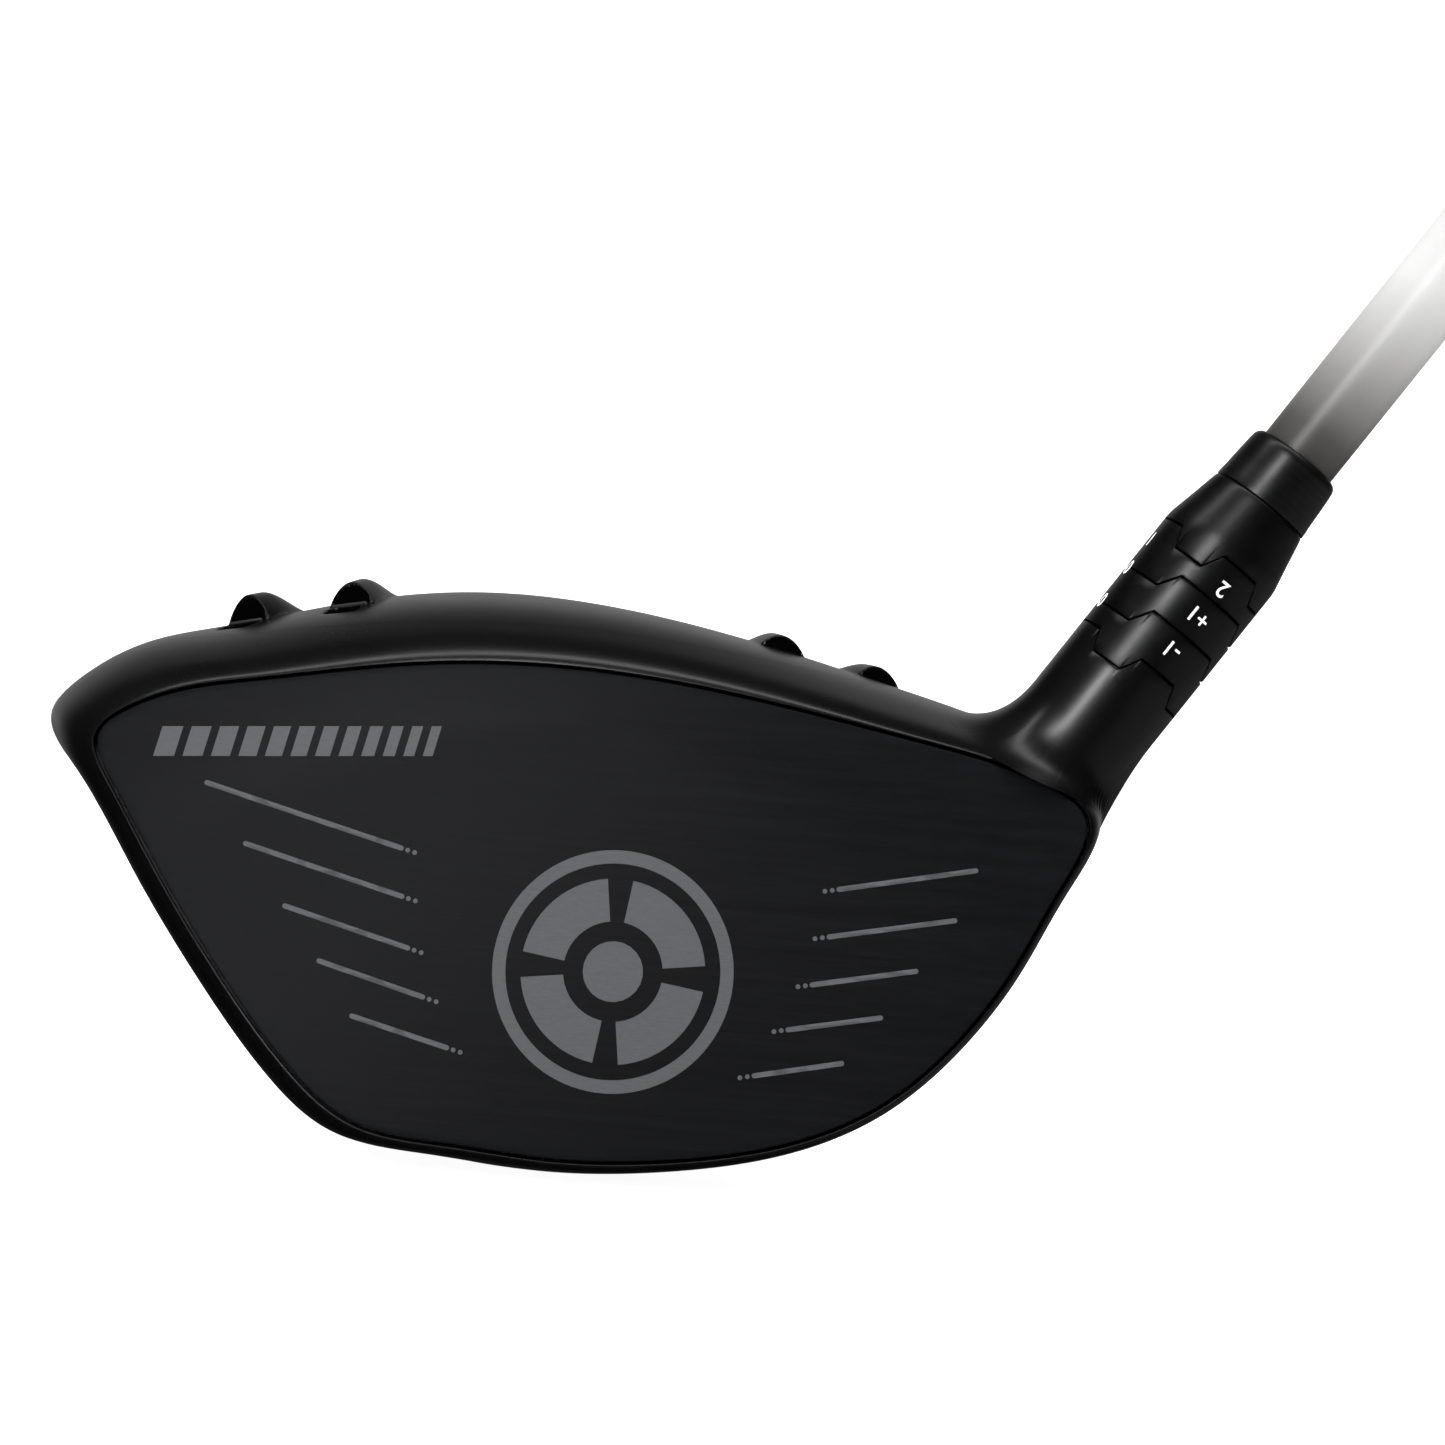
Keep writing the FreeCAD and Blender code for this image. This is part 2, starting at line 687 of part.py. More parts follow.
def shaft_sleeve():
    """Sleeve bonded to the shaft tip: tube, tapered collar, shaft socket and screw thread."""
    socket_floor = "shaft_tip - 1.0"
    thread = "screw_shank + fit_gap"
    blank = lathe("sleeve_blank", [
        (thread, "sleeve_tip"), ("sleeve_radius - 0.6", "sleeve_tip"),
        ("sleeve_radius", "sleeve_tip + 0.6"), ("sleeve_radius", "seam_one + seam_gap"),
        ("hosel_radius", "seam_one + seam_gap"), ("hosel_radius", "collar_start"),
        ("collar_radius", "collar_top"), ("shaft_socket", "collar_top"),
        ("shaft_socket", socket_floor), (thread, socket_floor),
    ])
    half, turns = FOUR
    slots = tongues("sleeve_slots", "seam_one", half, turns, "seam_gap")
    core = cylinder("sleeve_core", "sleeve_radius", "seam_one - 1", "collar_top")
    return cut("sleeve_cut", blank, cut("sleeve_notches", slots, core))


keep("shaft_sleeve", shaft_sleeve(), hosel_frame)

# ---------------------------------------------------------------- ferrule, shaft and grip

keep("ferrule", lathe("ferrule", [
    ("shaft_neck_radius + fit_gap", "collar_top + 0.1"), ("collar_radius", "collar_top + 0.1"),
    ("collar_radius - 0.1", "collar_top + 1.5"), ("collar_radius - 0.45", "ferrule_top - 0.6"),
    ("collar_radius - 0.9", "ferrule_top"), ("shaft_neck_radius + fit_gap", "ferrule_top"),
]), hosel_frame)

keep("shaft", lathe("shaft", [
    ("shaft_tip_radius - tip_wall", "shaft_tip"), ("shaft_tip_radius - 0.4", "shaft_tip"),
    ("shaft_tip_radius", "shaft_tip + 0.4"), ("shaft_tip_radius", "collar_top - 0.5"),
    ("shaft_neck_radius", "ferrule_top"), ("shaft_butt_radius", "shaft_butt"),
    ("shaft_butt_radius - butt_wall", "shaft_butt"),
]), hosel_frame)

keep("shaft_tip_plug", lathe("shaft_tip_plug", [
    ("0", "shaft_tip + 0.5"), ("shaft_tip_radius - tip_wall - fit_gap", "shaft_tip + 0.5"),
    ("shaft_tip_radius - tip_wall - fit_gap", "shaft_tip + 7"), ("0", "shaft_tip + 7"),
]), hosel_frame)

# radius of the tapered shaft where the grip starts
SHAFT_AT_GRIP = ("(shaft_neck_radius + (shaft_butt_radius - shaft_neck_radius)"
                 " * (grip_start - ferrule_top) / (shaft_butt - ferrule_top))")

keep("grip_tape", lathe("grip_tape", [
    (f"{SHAFT_AT_GRIP} + 0.02", "grip_start + 1"),
    (f"{SHAFT_AT_GRIP} + tape_thickness", "grip_start + 1"),
    ("shaft_butt_radius + tape_thickness", "shaft_butt - 0.5"),
    ("shaft_butt_radius + 0.02", "shaft_butt - 0.5"),
]), hosel_frame)

keep("grip", lathe("grip", [
    (f"{SHAFT_AT_GRIP} + tape_thickness + 0.05", "grip_start"),
    ("grip_mouth_radius - 0.8", "grip_start"), ("grip_mouth_radius", "grip_start + 1.2"),
    ("grip_mouth_radius", "grip_start + 5"), ("grip_mouth_radius - 0.5", "grip_start + 7"),
    ("grip_waist_radius", "grip_start + 90"), ("grip_butt_radius", "shaft_butt - 6"),
    ("grip_butt_radius", "shaft_butt + 0.2"),
    ("shaft_butt_radius + tape_thickness + 0.05", "shaft_butt + 0.2"),
]), hosel_frame)

keep("grip_cap", lathe("grip_cap", [
    ("vent_radius", "shaft_butt + 0.3"), ("cap_radius", "shaft_butt + 0.3"),
    ("cap_radius", "club_length - 2.2"), ("cap_radius - 1.9", "club_length - 0.3"),
    ("cap_radius - 4.5", "club_length"), ("vent_radius", "club_length"),
]), hosel_frame)

# ---------------------------------------------------------------- check and write

doc.recompute()
for obj in doc.Objects:
    if {"Invalid", "Error"} & set(obj.State):
        raise RuntimeError(f"{obj.Label}: {obj.State}")
os.makedirs("parts", exist_ok=True)
for node, obj in nodes.items():
    shape = obj.Shape
    if shape.isNull() or not shape.isValid() or not shape.Solids:
        raise RuntimeError(f"{node}: bad shape")
    shape.exportStep(f"parts/{node}.step")
    box = shape.BoundBox
    print(f"{node:18s} solids {len(shape.Solids)} volume {shape.Volume / 1000:8.3f} cc  "
          f"x {box.XMin:7.1f} {box.XMax:7.1f}  y {box.YMin:6.1f} {box.YMax:6.1f}  "
          f"z {box.ZMin:6.1f} {box.ZMax:7.1f}")
print(f"head outside volume {head_skin.Volume / 1000:.1f} cc")
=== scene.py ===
"""Looks of the golf driver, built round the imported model.

Shapes are worked out in millimetres in the model's own frame: +X to the heel, -Y to the
target, +Z up. mesh_piece() turns them into metres.
"""
import math

import bmesh
import bpy
import numpy as np
from mathutils import Matrix, Vector
from mathutils.bvhtree import BVHTree
from mathutils.geometry import delaunay_2d_cdt


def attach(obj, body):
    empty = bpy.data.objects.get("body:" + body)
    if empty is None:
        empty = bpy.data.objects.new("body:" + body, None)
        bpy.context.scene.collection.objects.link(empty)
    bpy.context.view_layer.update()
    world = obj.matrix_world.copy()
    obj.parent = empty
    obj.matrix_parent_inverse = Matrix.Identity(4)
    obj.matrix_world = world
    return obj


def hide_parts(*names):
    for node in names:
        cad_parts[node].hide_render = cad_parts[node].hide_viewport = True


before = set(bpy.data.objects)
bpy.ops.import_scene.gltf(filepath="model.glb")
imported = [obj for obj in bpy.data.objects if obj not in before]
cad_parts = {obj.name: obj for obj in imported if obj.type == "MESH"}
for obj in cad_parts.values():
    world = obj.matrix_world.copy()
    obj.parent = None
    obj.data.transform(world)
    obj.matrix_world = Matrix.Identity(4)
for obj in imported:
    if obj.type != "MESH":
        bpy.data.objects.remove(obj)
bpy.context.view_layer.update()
MM = 0.001


# ---- numbers shared with the CAD

LOFT = math.radians(10.0)
FACE_RADIUS = 305.0
FACE_CENTRE = (0.0, -24.4, 30.0)
HEAD_DEPTH = 105.0
TOE_REACH = 69.6
HEEL_REACH = 55.5
CROWN_HEIGHT = 66.6
PLATE_GAP = 0.35
GROOVE_DEPTH = 3.1              # of the gap round the face plate
ROLL = math.radians(4.7)        # of the photograph, and of the row of bars on the face
LIE = math.radians(56.0)
HOSEL_FOOT = np.array([14.3, -6.0, 0.0])
HOSEL_RADIUS = 7.7
SLEEVE_RADIUS = 5.75
COLLAR_RADIUS = 6.25
SHAFT_NECK_RADIUS = 4.8
SHAFT_BUTT_RADIUS = 7.62
SEAMS = {"four": 74.9, "three": 80.1, "two": 85.3, "one": 90.1}
TOOTH_RISE = 2.5
TOOTH_RAMP = 1.25
FOUR_TOOTH_HALF = 3.25
TWO_TOOTH_HALF = 5.4
TOOTH_TURN = math.radians(20.0)
COLLAR_START = 93.6
COLLAR_TOP = 100.6
FERRULE_TOP = 107.7
SOCKET_FLOOR = 40.0             # bottom of the sleeve's bore
SHAFT_BUTT = 1145.0
PORT_RADIUS = 7.5
PORT_DEPTH = 5.1
REAR_PORT = (-4.0, 28.5)        # x and z of the rear weight
FRONT_PORT = (-5.5, 24.0)       # x and y of the front weight

FACE_OUTLINE = np.array([
    (-61.3, 46.0), (-58.1, 49.0), (-43.2, 53.5), (-26.0, 56.6), (-8.0, 57.7), (11.5, 56.1),
    (33.6, 52.4), (47.1, 49.1), (52.4, 45.6), (49.8, 36.9), (45.0, 27.4), (39.1, 18.9),
    (30.5, 11.0), (21.6, 6.7), (8.8, 3.8), (-5.0, 2.8), (-17.0, 3.5), (-28.0, 5.1),
    (-35.3, 10.3), (-43.0, 18.7), (-51.4, 29.5), (-59.0, 40.4),
])
# depth, toe, heel and crown as shares of the driving sizes, then sole and waist heights
STATIONS = [
    (-0.091, 0.780, 0.870, 0.760, 8.00, 44.0),
    (0.000, 0.893, 0.957, 0.886, 1.90, 46.0),
    (0.014, 0.917, 0.969, 0.906, 1.40, 46.3),
    (0.040, 0.945, 0.979, 0.930, 0.90, 46.8),
    (0.091, 0.973, 0.990, 0.962, 0.35, 47.5),
    (0.180, 0.998, 0.998, 0.988, -0.80, 48.0),
    (0.300, 1.000, 0.980, 1.000, -0.50, 47.6),
    (0.440, 0.965, 0.925, 0.985, 1.20, 46.0),
    (0.600, 0.882, 0.825, 0.910, 4.30, 43.0),
    (0.760, 0.735, 0.660, 0.785, 8.80, 39.5),
    (0.880, 0.580, 0.490, 0.672, 13.00, 36.0),
    (0.955, 0.450, 0.350, 0.605, 16.20, 33.0),
    (1.000, 0.340, 0.240, 0.568, 19.00, 30.5),
]
SHAPE_BLEND_DEPTH = 0.45
OVAL_POWER_CROWN = 1.5
OVAL_POWER_SOLE = 1.7
CROWN_LEAN = 0.38
RIM_TUCK = 0.15
BODY_TUCK = 0.13
TUCK_DEPTH = 0.14
CROWN_OUTLINE = np.array([
    (-57.5, 2.0), (-45.0, -5.5), (-25.0, -10.5), (-5.0, -11.5), (15.0, -9.5), (31.0, -3.0),
    (39.5, 9.0), (39.5, 25.0), (31.0, 43.0), (16.0, 60.0), (-5.0, 70.0), (-27.0, 61.5),
    (-45.0, 45.5), (-56.5, 27.5), (-60.5, 13.0),
])
SOLE_OUTLINE = np.array([
    (-26.0, 39.0), (-5.5, 37.0), (14.0, 39.0), (21.0, 45.0), (15.0, 58.0), (3.0, 69.0),
    (-5.5, 72.0), (-14.0, 69.0), (-27.0, 58.0), (-33.0, 45.0),
])
# place of each turbulator's front (x, y) and the turn of its tail in degrees, then its height
BUMPS = [(-47.3, 4.0, 24.0), (-35.0, 1.5, 16.0), (16.6, 1.5, -16.0), (28.4, 4.0, -24.0)]
BUMP_HEIGHTS = (3.40, 2.85, 1.95, 1.95)
TOE_BUMPS = 2                   # the first ones have a dimple in front

BALL_CENTRE = np.array([0.0,
                        FACE_CENTRE[1] + FACE_RADIUS * math.cos(LOFT),
                        FACE_CENTRE[2] - FACE_RADIUS * math.sin(LOFT)])


# ---- curves and meshes


def ease(share):
    """Smooth step from 0 to 1."""
    share = np.clip(share, 0.0, 1.0)
    return share * share * (3 - 2 * share)


def cubic(values, knots, at, closed):
    """Cubic spline through values at the knots, taken at the parameters in at."""
    values = np.asarray(values, float)
    knots = np.asarray(knots, float)
    count = len(knots) - 1
    steps = np.diff(knots)
    slopes = np.diff(values, axis=0) / steps.reshape((-1,) + (1,) * (values.ndim - 1))
    size = count if closed else count + 1
    matrix = np.zeros((size, size))
    right = np.zeros((size,) + values.shape[1:])
    for i in range(size):
        if closed or 0 < i < count:
            before = steps[i - 1]
            after = steps[i % count]
            matrix[i, (i - 1) % size] += before
            matrix[i, i] += 2 * (before + after)
            matrix[i, (i + 1) % size] += after
            right[i] = 6 * (slopes[i % count] - slopes[i - 1])
        else:
            matrix[i, i] = 1.0
    bend = np.linalg.solve(matrix, right.reshape(size, -1)).reshape(right.shape)
    if closed:
        bend = np.concatenate([bend, bend[:1]])
    at = np.asarray(at, float)
    if closed:
        at = knots[0] + np.mod(at - knots[0], knots[-1] - knots[0])
    i = np.clip(np.searchsorted(knots, at, side="right") - 1, 0, count - 1)
    shape = (-1,) + (1,) * (values.ndim - 1)
    step = steps[i].reshape(shape)
    a = (knots[i + 1] - at).reshape(shape)
    b = (at - knots[i]).reshape(shape)
    return (bend[i] * a ** 3 / (6 * step) + bend[i + 1] * b ** 3 / (6 * step)
            + (values[i] / step - bend[i] * step / 6) * a
            + (values[i + 1] / step - bend[i + 1] * step / 6) * b)


def chord_stops(points):
    """Running length round a closed loop of points, from 0 to 1."""
    lengths = np.linalg.norm(np.roll(points, -1, axis=0) - points, axis=1)
    return np.concatenate([[0.0], np.cumsum(lengths)]) / lengths.sum()


def closed_curve(points, at, stops=None):
    """Smooth closed curve through the points, at parameters from 0 to 1."""
    stops = chord_stops(points) if stops is None else stops
    return cubic(np.concatenate([points, points[:1]]), stops, at, True)


def loop_normals(loop):
    """Outward normals of a closed plane loop of (a, b) points."""
    run = np.roll(loop, -1, axis=0) - np.roll(loop, 1, axis=0)
    area = np.sum(loop[:, 0] * np.roll(loop[:, 1], -1) - np.roll(loop[:, 0], -1) * loop[:, 1])
    out = np.stack([run[:, 1], -run[:, 0]], axis=1) * (1 if area > 0 else -1)
    return out / np.linalg.norm(out, axis=1, keepdims=True)


def mesh_piece(name, points, faces, material, smooth=True):
    """Blender object from points in millimetres."""
    mesh = bpy.data.meshes.new(name)
    mesh.from_pydata((np.asarray(points, float) * MM).tolist(), [], faces)
    mesh.polygons.foreach_set("use_smooth", [smooth] * len(mesh.polygons))
    mesh.materials.append(material)
    mesh.update()
    piece = bpy.data.objects.new(name, mesh)
    bpy.context.scene.collection.objects.link(piece)
    return piece


def grid_faces(rows, columns, closed=True):
    """Quads between rows of points, closed round the columns if asked."""
    faces = []
    for row in range(rows - 1):
        for column in range(columns if closed else columns - 1):
            a = row * columns + column
            b = row * columns + (column + 1) % columns
            faces.append((a, b, b + columns, a + columns))
    return faces


def rows_piece(name, rows, material):
    """Object skinned over closed rows of points that all have the same count."""
    return mesh_piece(name, np.concatenate(rows), grid_faces(len(rows), len(rows[0])), material)


def face_outwards(piece):
    """Turn every face of a closed piece outwards."""
    work = bmesh.new()
    work.from_mesh(piece.data)
    bmesh.ops.recalc_face_normals(work, faces=work.faces)
    work.to_mesh(piece.data)
    work.free()


def keep_sharp(piece, degrees=35.0):
    """Keep creases over an angle crisp and the rest smooth."""
    piece.data.shade_smooth()
    piece.data.set_sharp_from_angle(angle=math.radians(degrees))


def fuse(pieces, name):
    """Join several objects into one, keeping the first one's materials."""
    bpy.ops.object.select_all(action="DESELECT")
    for piece in pieces:
        piece.select_set(True)
    bpy.context.view_layer.objects.active = pieces[0]
    bpy.ops.object.join()
    pieces[0].name = name
    return pieces[0]


def smooth_rows(start, control, end, count):
    """Rows of a curve that leaves start and reaches end, pulled towards control."""
    result = []
    for step in range(count + 1):
        t = step / count
        result.append((1 - t) ** 2 * start + 2 * t * (1 - t) * control + t * t * end)
    return result


# ---- head surface


def face_y(x, z):
    """Y of the face sphere."""
    drop = x ** 2 + (z - BALL_CENTRE[2]) ** 2
    return BALL_CENTRE[1] - np.sqrt(FACE_RADIUS ** 2 - drop)


def station_points(station):
    """Section of the head at one station, in the order of the face outline."""
    depth, toe, heel, crown, sole, waist = station
    toe = -toe * TOE_REACH
    heel = heel * HEEL_REACH
    crown = crown * CROWN_HEIGHT
    low = FACE_OUTLINE.min(axis=0)
    high = FACE_OUTLINE.max(axis=0)
    face_waist = STATIONS[1][5]
    across = (2 * FACE_OUTLINE[:, 0] - low[0] - high[0]) / (high[0] - low[0])
    upward = FACE_OUTLINE[:, 1] - face_waist
    over = upward > 0
    upward = upward / np.where(over, high[1] - face_waist, face_waist - low[1])
    turn = np.arctan2(upward, across)
    power = np.where(over, OVAL_POWER_CROWN, OVAL_POWER_SOLE)
    reach = (np.abs(np.cos(turn)) ** power + np.abs(np.sin(turn)) ** power) ** (-1 / power)
    blend = ease(depth / SHAPE_BLEND_DEPTH)
    across = across + blend * (reach * np.cos(turn) - across)
    upward = upward + blend * (reach * np.sin(turn) - upward)
    tuck = RIM_TUCK * ease(depth / TUCK_DEPTH) + BODY_TUCK * blend
    across = across * (1 + tuck * np.minimum(upward, 0) * (1 + upward))
    x = (toe + heel) / 2 + across * (heel - toe) / 2
    z = waist + upward * np.where(over, crown - waist, waist - sole)
    x = x - CROWN_LEAN * blend * np.maximum(z - waist, 0)
    curve = 1 - blend if depth >= 0 else 0.0
    y = FACE_CENTRE[1] + depth * HEAD_DEPTH + curve * (face_y(x, z) - FACE_CENTRE[1])
    return np.stack([x, y, z], axis=1)


FACE_STOPS = chord_stops(FACE_OUTLINE)
COLUMNS = 480
AROUND = np.arange(COLUMNS) / COLUMNS
SECTIONS = np.array([closed_curve(station_points(station), AROUND, FACE_STOPS)
                     for station in STATIONS])
SECTION_STEPS = np.linalg.norm(np.diff(SECTIONS, axis=0), axis=2).mean(axis=1)
SECTION_KNOTS = np.concatenate([[0.0], np.cumsum(SECTION_STEPS)])
SECTION_KNOTS -= SECTION_KNOTS[1]
TAIL = SECTION_KNOTS[-1]


def skin_rows(distances):
    """Rows of the head's skin at running distances behind the face edge."""
    return cubic(SECTIONS, SECTION_KNOTS, distances, False)


def build_skin():
    """Dense mesh of the head's skin, used to find points and normals on it."""
    distances = np.concatenate([np.linspace(-3, 10, 40), np.linspace(10, TAIL, 150)[1:]])
    rows = skin_rows(distances)
    points = rows.reshape(-1, 3)
    faces = grid_faces(len(rows), COLUMNS)
    return BVHTree.FromPolygons(points.tolist(), faces)


SKIN = build_skin()


def on_skin(plan, lift, side):
    """Points over the crown (side 1) or under the sole (side -1), lifted off the skin."""
    points = []
    for (x, y), extra in zip(plan, lift):
        start = Vector((x, y, 50.0 + 100.0 * side))
        hit, normal, _, _ = SKIN.ray_cast(start, Vector((0, 0, -side)))
        outward = np.array(normal if normal.z * side > 0 else -normal)
        points.append(np.array(hit) + extra * outward)
    return np.array(points)


# ---- hosel axis

AXIS = np.array([math.cos(LIE), 0.0, math.sin(LIE)])
SIDE = np.array([math.sin(LIE), 0.0, -math.cos(LIE)])      # square to the axis, to the heel
BACK = np.array([0.0, 1.0, 0.0])


def on_axis(height, radius, turn):
    """Points round the hosel axis. A turn of 0 faces the target, positive to the heel."""
    height = np.asarray(height, float)[..., None]
    radius = np.asarray(radius, float)[..., None]
    turn = np.asarray(turn, float)[..., None]
    out = np.sin(turn) * SIDE - np.cos(turn) * BACK
    return HOSEL_FOOT + height * AXIS + radius * out


def seam_height(low, half, bars, turn):
    """Height of a castellated seam round the axis: low, with tapered teeth above it."""
    best = np.zeros_like(turn)
    for bar in range(bars):
        across = np.abs(HOSEL_RADIUS * np.sin(turn - TOOTH_TURN - bar * math.pi / 2))
        rise = np.clip((half + TOOTH_RAMP / 2 - across) / TOOTH_RAMP, 0, 1) * TOOTH_RISE
        best = np.maximum(best, rise)
    return low + best


# ---- materials


class Nodes:
    """Small builder for the node tree of a material or a world."""

    def __init__(self, owner):
        owner.use_nodes = True
        self.tree = owner.node_tree

    def node(self, kind, **values):
        """New node, with properties or input values by name."""
        node = self.tree.nodes.new(kind)
        for key, value in values.items():
            if hasattr(node, key):
                setattr(node, key, value)
            else:
                node.inputs[key.replace("_", " ")].default_value = value
        return node

    def link(self, output, socket):
        """Join an output to an input."""
        self.tree.links.new(output, socket)

    def remap(self, source, low, high, start=0.3, end=0.7, **values):
        """Source from start..end spread over low..high."""
        node = self.node("ShaderNodeMapRange", From_Min=start, From_Max=end,
                         To_Min=low, To_Max=high, **values)
        self.link(source, node.inputs["Value"])
        return node.outputs["Result"]

    def math(self, operation, first, second=0.0):
        """Math node on one or two values."""
        node = self.node("ShaderNodeMath", operation=operation)
        for socket, value in zip(node.inputs, (first, second)):
            if isinstance(value, (int, float)):
                socket.default_value = value
            else:
                self.link(value, socket)
        return node.outputs[0]

    def mixed(self, first, first_share, second, second_share):
        """Sum of two sources, each times its own share."""
        return self.math("ADD", self.math("MULTIPLY", first, first_share),
                         self.math("MULTIPLY", second, second_share))

    def vector(self, operation, source, constant, result="Vector"):
        """Vector node on a source and a constant."""
        node = self.node("ShaderNodeVectorMath", operation=operation)
        node.inputs[1].default_value = list(constant)
        self.link(source, node.inputs[0])
        return node.outputs[result]


class Finish(Nodes):
    """Procedural material in object coordinates."""

    def __init__(self, name, **constants):
        self.material = bpy.data.materials.new(name)
        super().__init__(self.material)
        self.shader = self.tree.nodes["Principled BSDF"]
        for socket, value in constants.items():
            self.shader.inputs[socket.replace("_", " ")].default_value = value
        self.place = self.node("ShaderNodeTexCoord").outputs["Object"]

    def stretched(self, scale, turn=(0.0, 0.0, 0.0)):
        """Object coordinates turned, then stretched."""
        mapping = self.node("ShaderNodeMapping", vector_type="POINT")
        mapping.inputs["Rotation"].default_value = turn
        mapping.inputs["Scale"].default_value = scale
        self.link(self.place, mapping.inputs["Vector"])
        return mapping.outputs["Vector"]

    def noise(self, scale, detail=3.0, roughness=0.55, place=None):
        """Fractal noise from 0 to 1."""
        node = self.node("ShaderNodeTexNoise", Scale=scale, Detail=detail, Roughness=roughness)
        self.link(place or self.place, node.inputs["Vector"])
        return node.outputs["Fac"]

    def along_axis(self):
        """Height along the hosel axis, in metres."""
        offset = self.vector("SUBTRACT", self.place, HOSEL_FOOT * MM)
        return self.vector("DOT_PRODUCT", offset, AXIS, "Value")

    def paint(self, source, stops):
        """Drive the base colour with a ramp on a source."""
        node = self.node("ShaderNodeValToRGB")
        ramp = node.color_ramp
        while len(ramp.elements) < len(stops):
            ramp.elements.new(0.5)
        for element, (position, colour) in zip(ramp.elements, stops):
            element.position = position
            element.color = (*colour, 1.0)
        self.link(source, node.inputs["Fac"])
        self.link(node.outputs["Color"], self.shader.inputs["Base Color"])

    def coat(self, tone, stops, gloss, rough, relief, depth, strength=1.0):
        """Colour, roughness and bump (depth in millimetres). Gives the material."""
        self.paint(tone, stops)
        self.link(self.remap(gloss, *rough), self.shader.inputs["Roughness"])
        bump = self.node("ShaderNodeBump", Strength=strength, Distance=depth * MM)
        self.link(relief, bump.inputs["Height"])
        self.link(bump.outputs["Normal"], self.shader.inputs["Normal"])
        return self.material


def gloss_paint(name, shade, rough):
    """Black lacquer with faint flake, haze in its gloss and a little orange peel."""
    finish = Finish(name, Specular_IOR_Level=0.5, Coat_Weight=0.15, Coat_Roughness=0.30)
    stops = [(0.0, (shade, shade, shade * 1.04)), (0.62, (shade * 1.15,) * 3),
             (0.80, (shade * 1.6, shade * 1.6, shade * 1.7))]
    return finish.coat(finish.noise(240, 2.0), stops, finish.noise(70, 4.0),
                       (rough - 0.025, rough + 0.03), finish.noise(150, 1.0), 0.003)


def grained(name, specular, noise, stretch, stops, rough, depth, strength=1.0):
    """One grain for colour, gloss and relief: matt paint, etching, ink or tape."""
    finish = Finish(name, Specular_IOR_Level=specular)
    grain = finish.noise(*noise, place=finish.stretched(stretch) if stretch else None)
    return finish.coat(grain, stops, grain, rough, grain, depth, strength)


def matt_paint(name, shade, specular):
    """Unpolished paint with a fine dusty grain."""
    return grained(name, specular, (1800, 3.0), None,
                   [(0.3, (shade * 0.85,) * 3), (0.7, (shade * 1.15,) * 3)], (0.55, 0.70), 0.002)


def brushed_face(name):
    """Dark coated titanium with fine brush lines from toe to heel."""
    finish = Finish(name, Metallic=0.0, Specular_IOR_Level=0.06, Anisotropic=0.4)
    lines = finish.noise(1.0, 5.0, 0.7, finish.stretched((28, 1400, 5200)))
    broad = finish.noise(1.0, 3.0, 0.6, finish.stretched((9, 200, 900)))
    both = finish.mixed(lines, 0.65, broad, 0.35)
    return finish.coat(both, [
        (0.25, (0.0022, 0.0023, 0.0028)), (0.50, (0.0036, 0.0038, 0.0046)),
        (0.75, (0.0056, 0.0059, 0.0070))], both, (0.36, 0.50), lines, 0.010, 0.6)


def turned(name, dark, light, metallic, rough, pitch, depth):
    """Machined part with fine lathe lines round the hosel axis."""
    finish = Finish(name, Metallic=metallic, Specular_IOR_Level=0.5)
    wave = finish.math("SINE", finish.math("MULTIPLY", finish.along_axis(),
                                           2 * math.pi / (pitch * MM)))
    lines = finish.math("ADD", finish.math("MULTIPLY", wave, 0.5), 0.5)
    grain = finish.noise(420, 4.0)
    mix = finish.mixed(lines, 0.4, grain, 0.6)
    return finish.coat(mix, [(0.25, dark), (0.8, light)], grain, (rough - 0.03, rough + 0.04),
                       mix, depth)


def shaft_paint(name, start, end):
    """Paint that fades from graphite to a pearl band near the tip, then back to graphite.

    The fade runs from start to end, in metres along the hosel axis.
    """
    finish = Finish(name, Specular_IOR_Level=0.4, Coat_Weight=0.2, Coat_Roughness=0.35)
    grain = finish.noise(1500, 3.0)
    shifted = finish.mixed(finish.along_axis(), 1.0, grain, 0.0005)
    return finish.coat(finish.remap(shifted, 0.0, 1.0, start, end), [
        (0.0, (0.016, 0.0155, 0.015)), (0.055, (0.042, 0.040, 0.038)),
        (0.12, (0.14, 0.137, 0.134)), (0.20, (0.28, 0.278, 0.275)), (0.27, (0.39, 0.39, 0.388)),
        (0.35, (0.39, 0.39, 0.388)), (0.44, (0.10, 0.10, 0.10)), (0.52, (0.022, 0.022, 0.023)),
        (1.0, (0.016, 0.016, 0.017))], grain, (0.36, 0.42), grain, 0.0008)


def rubber(name, shade, rough, scale):
    """Moulded rubber or nylon with a fine pebble."""
    finish = Finish(name, Specular_IOR_Level=0.35)
    grain = finish.noise(scale, 4.0, 0.6)
    stops = [(0.3, (shade,) * 3), (0.75, (shade * 1.6,) * 3)]
    return finish.coat(finish.noise(45, 4.0), stops, grain, (rough - 0.06, rough + 0.10),
                       grain, 0.03)


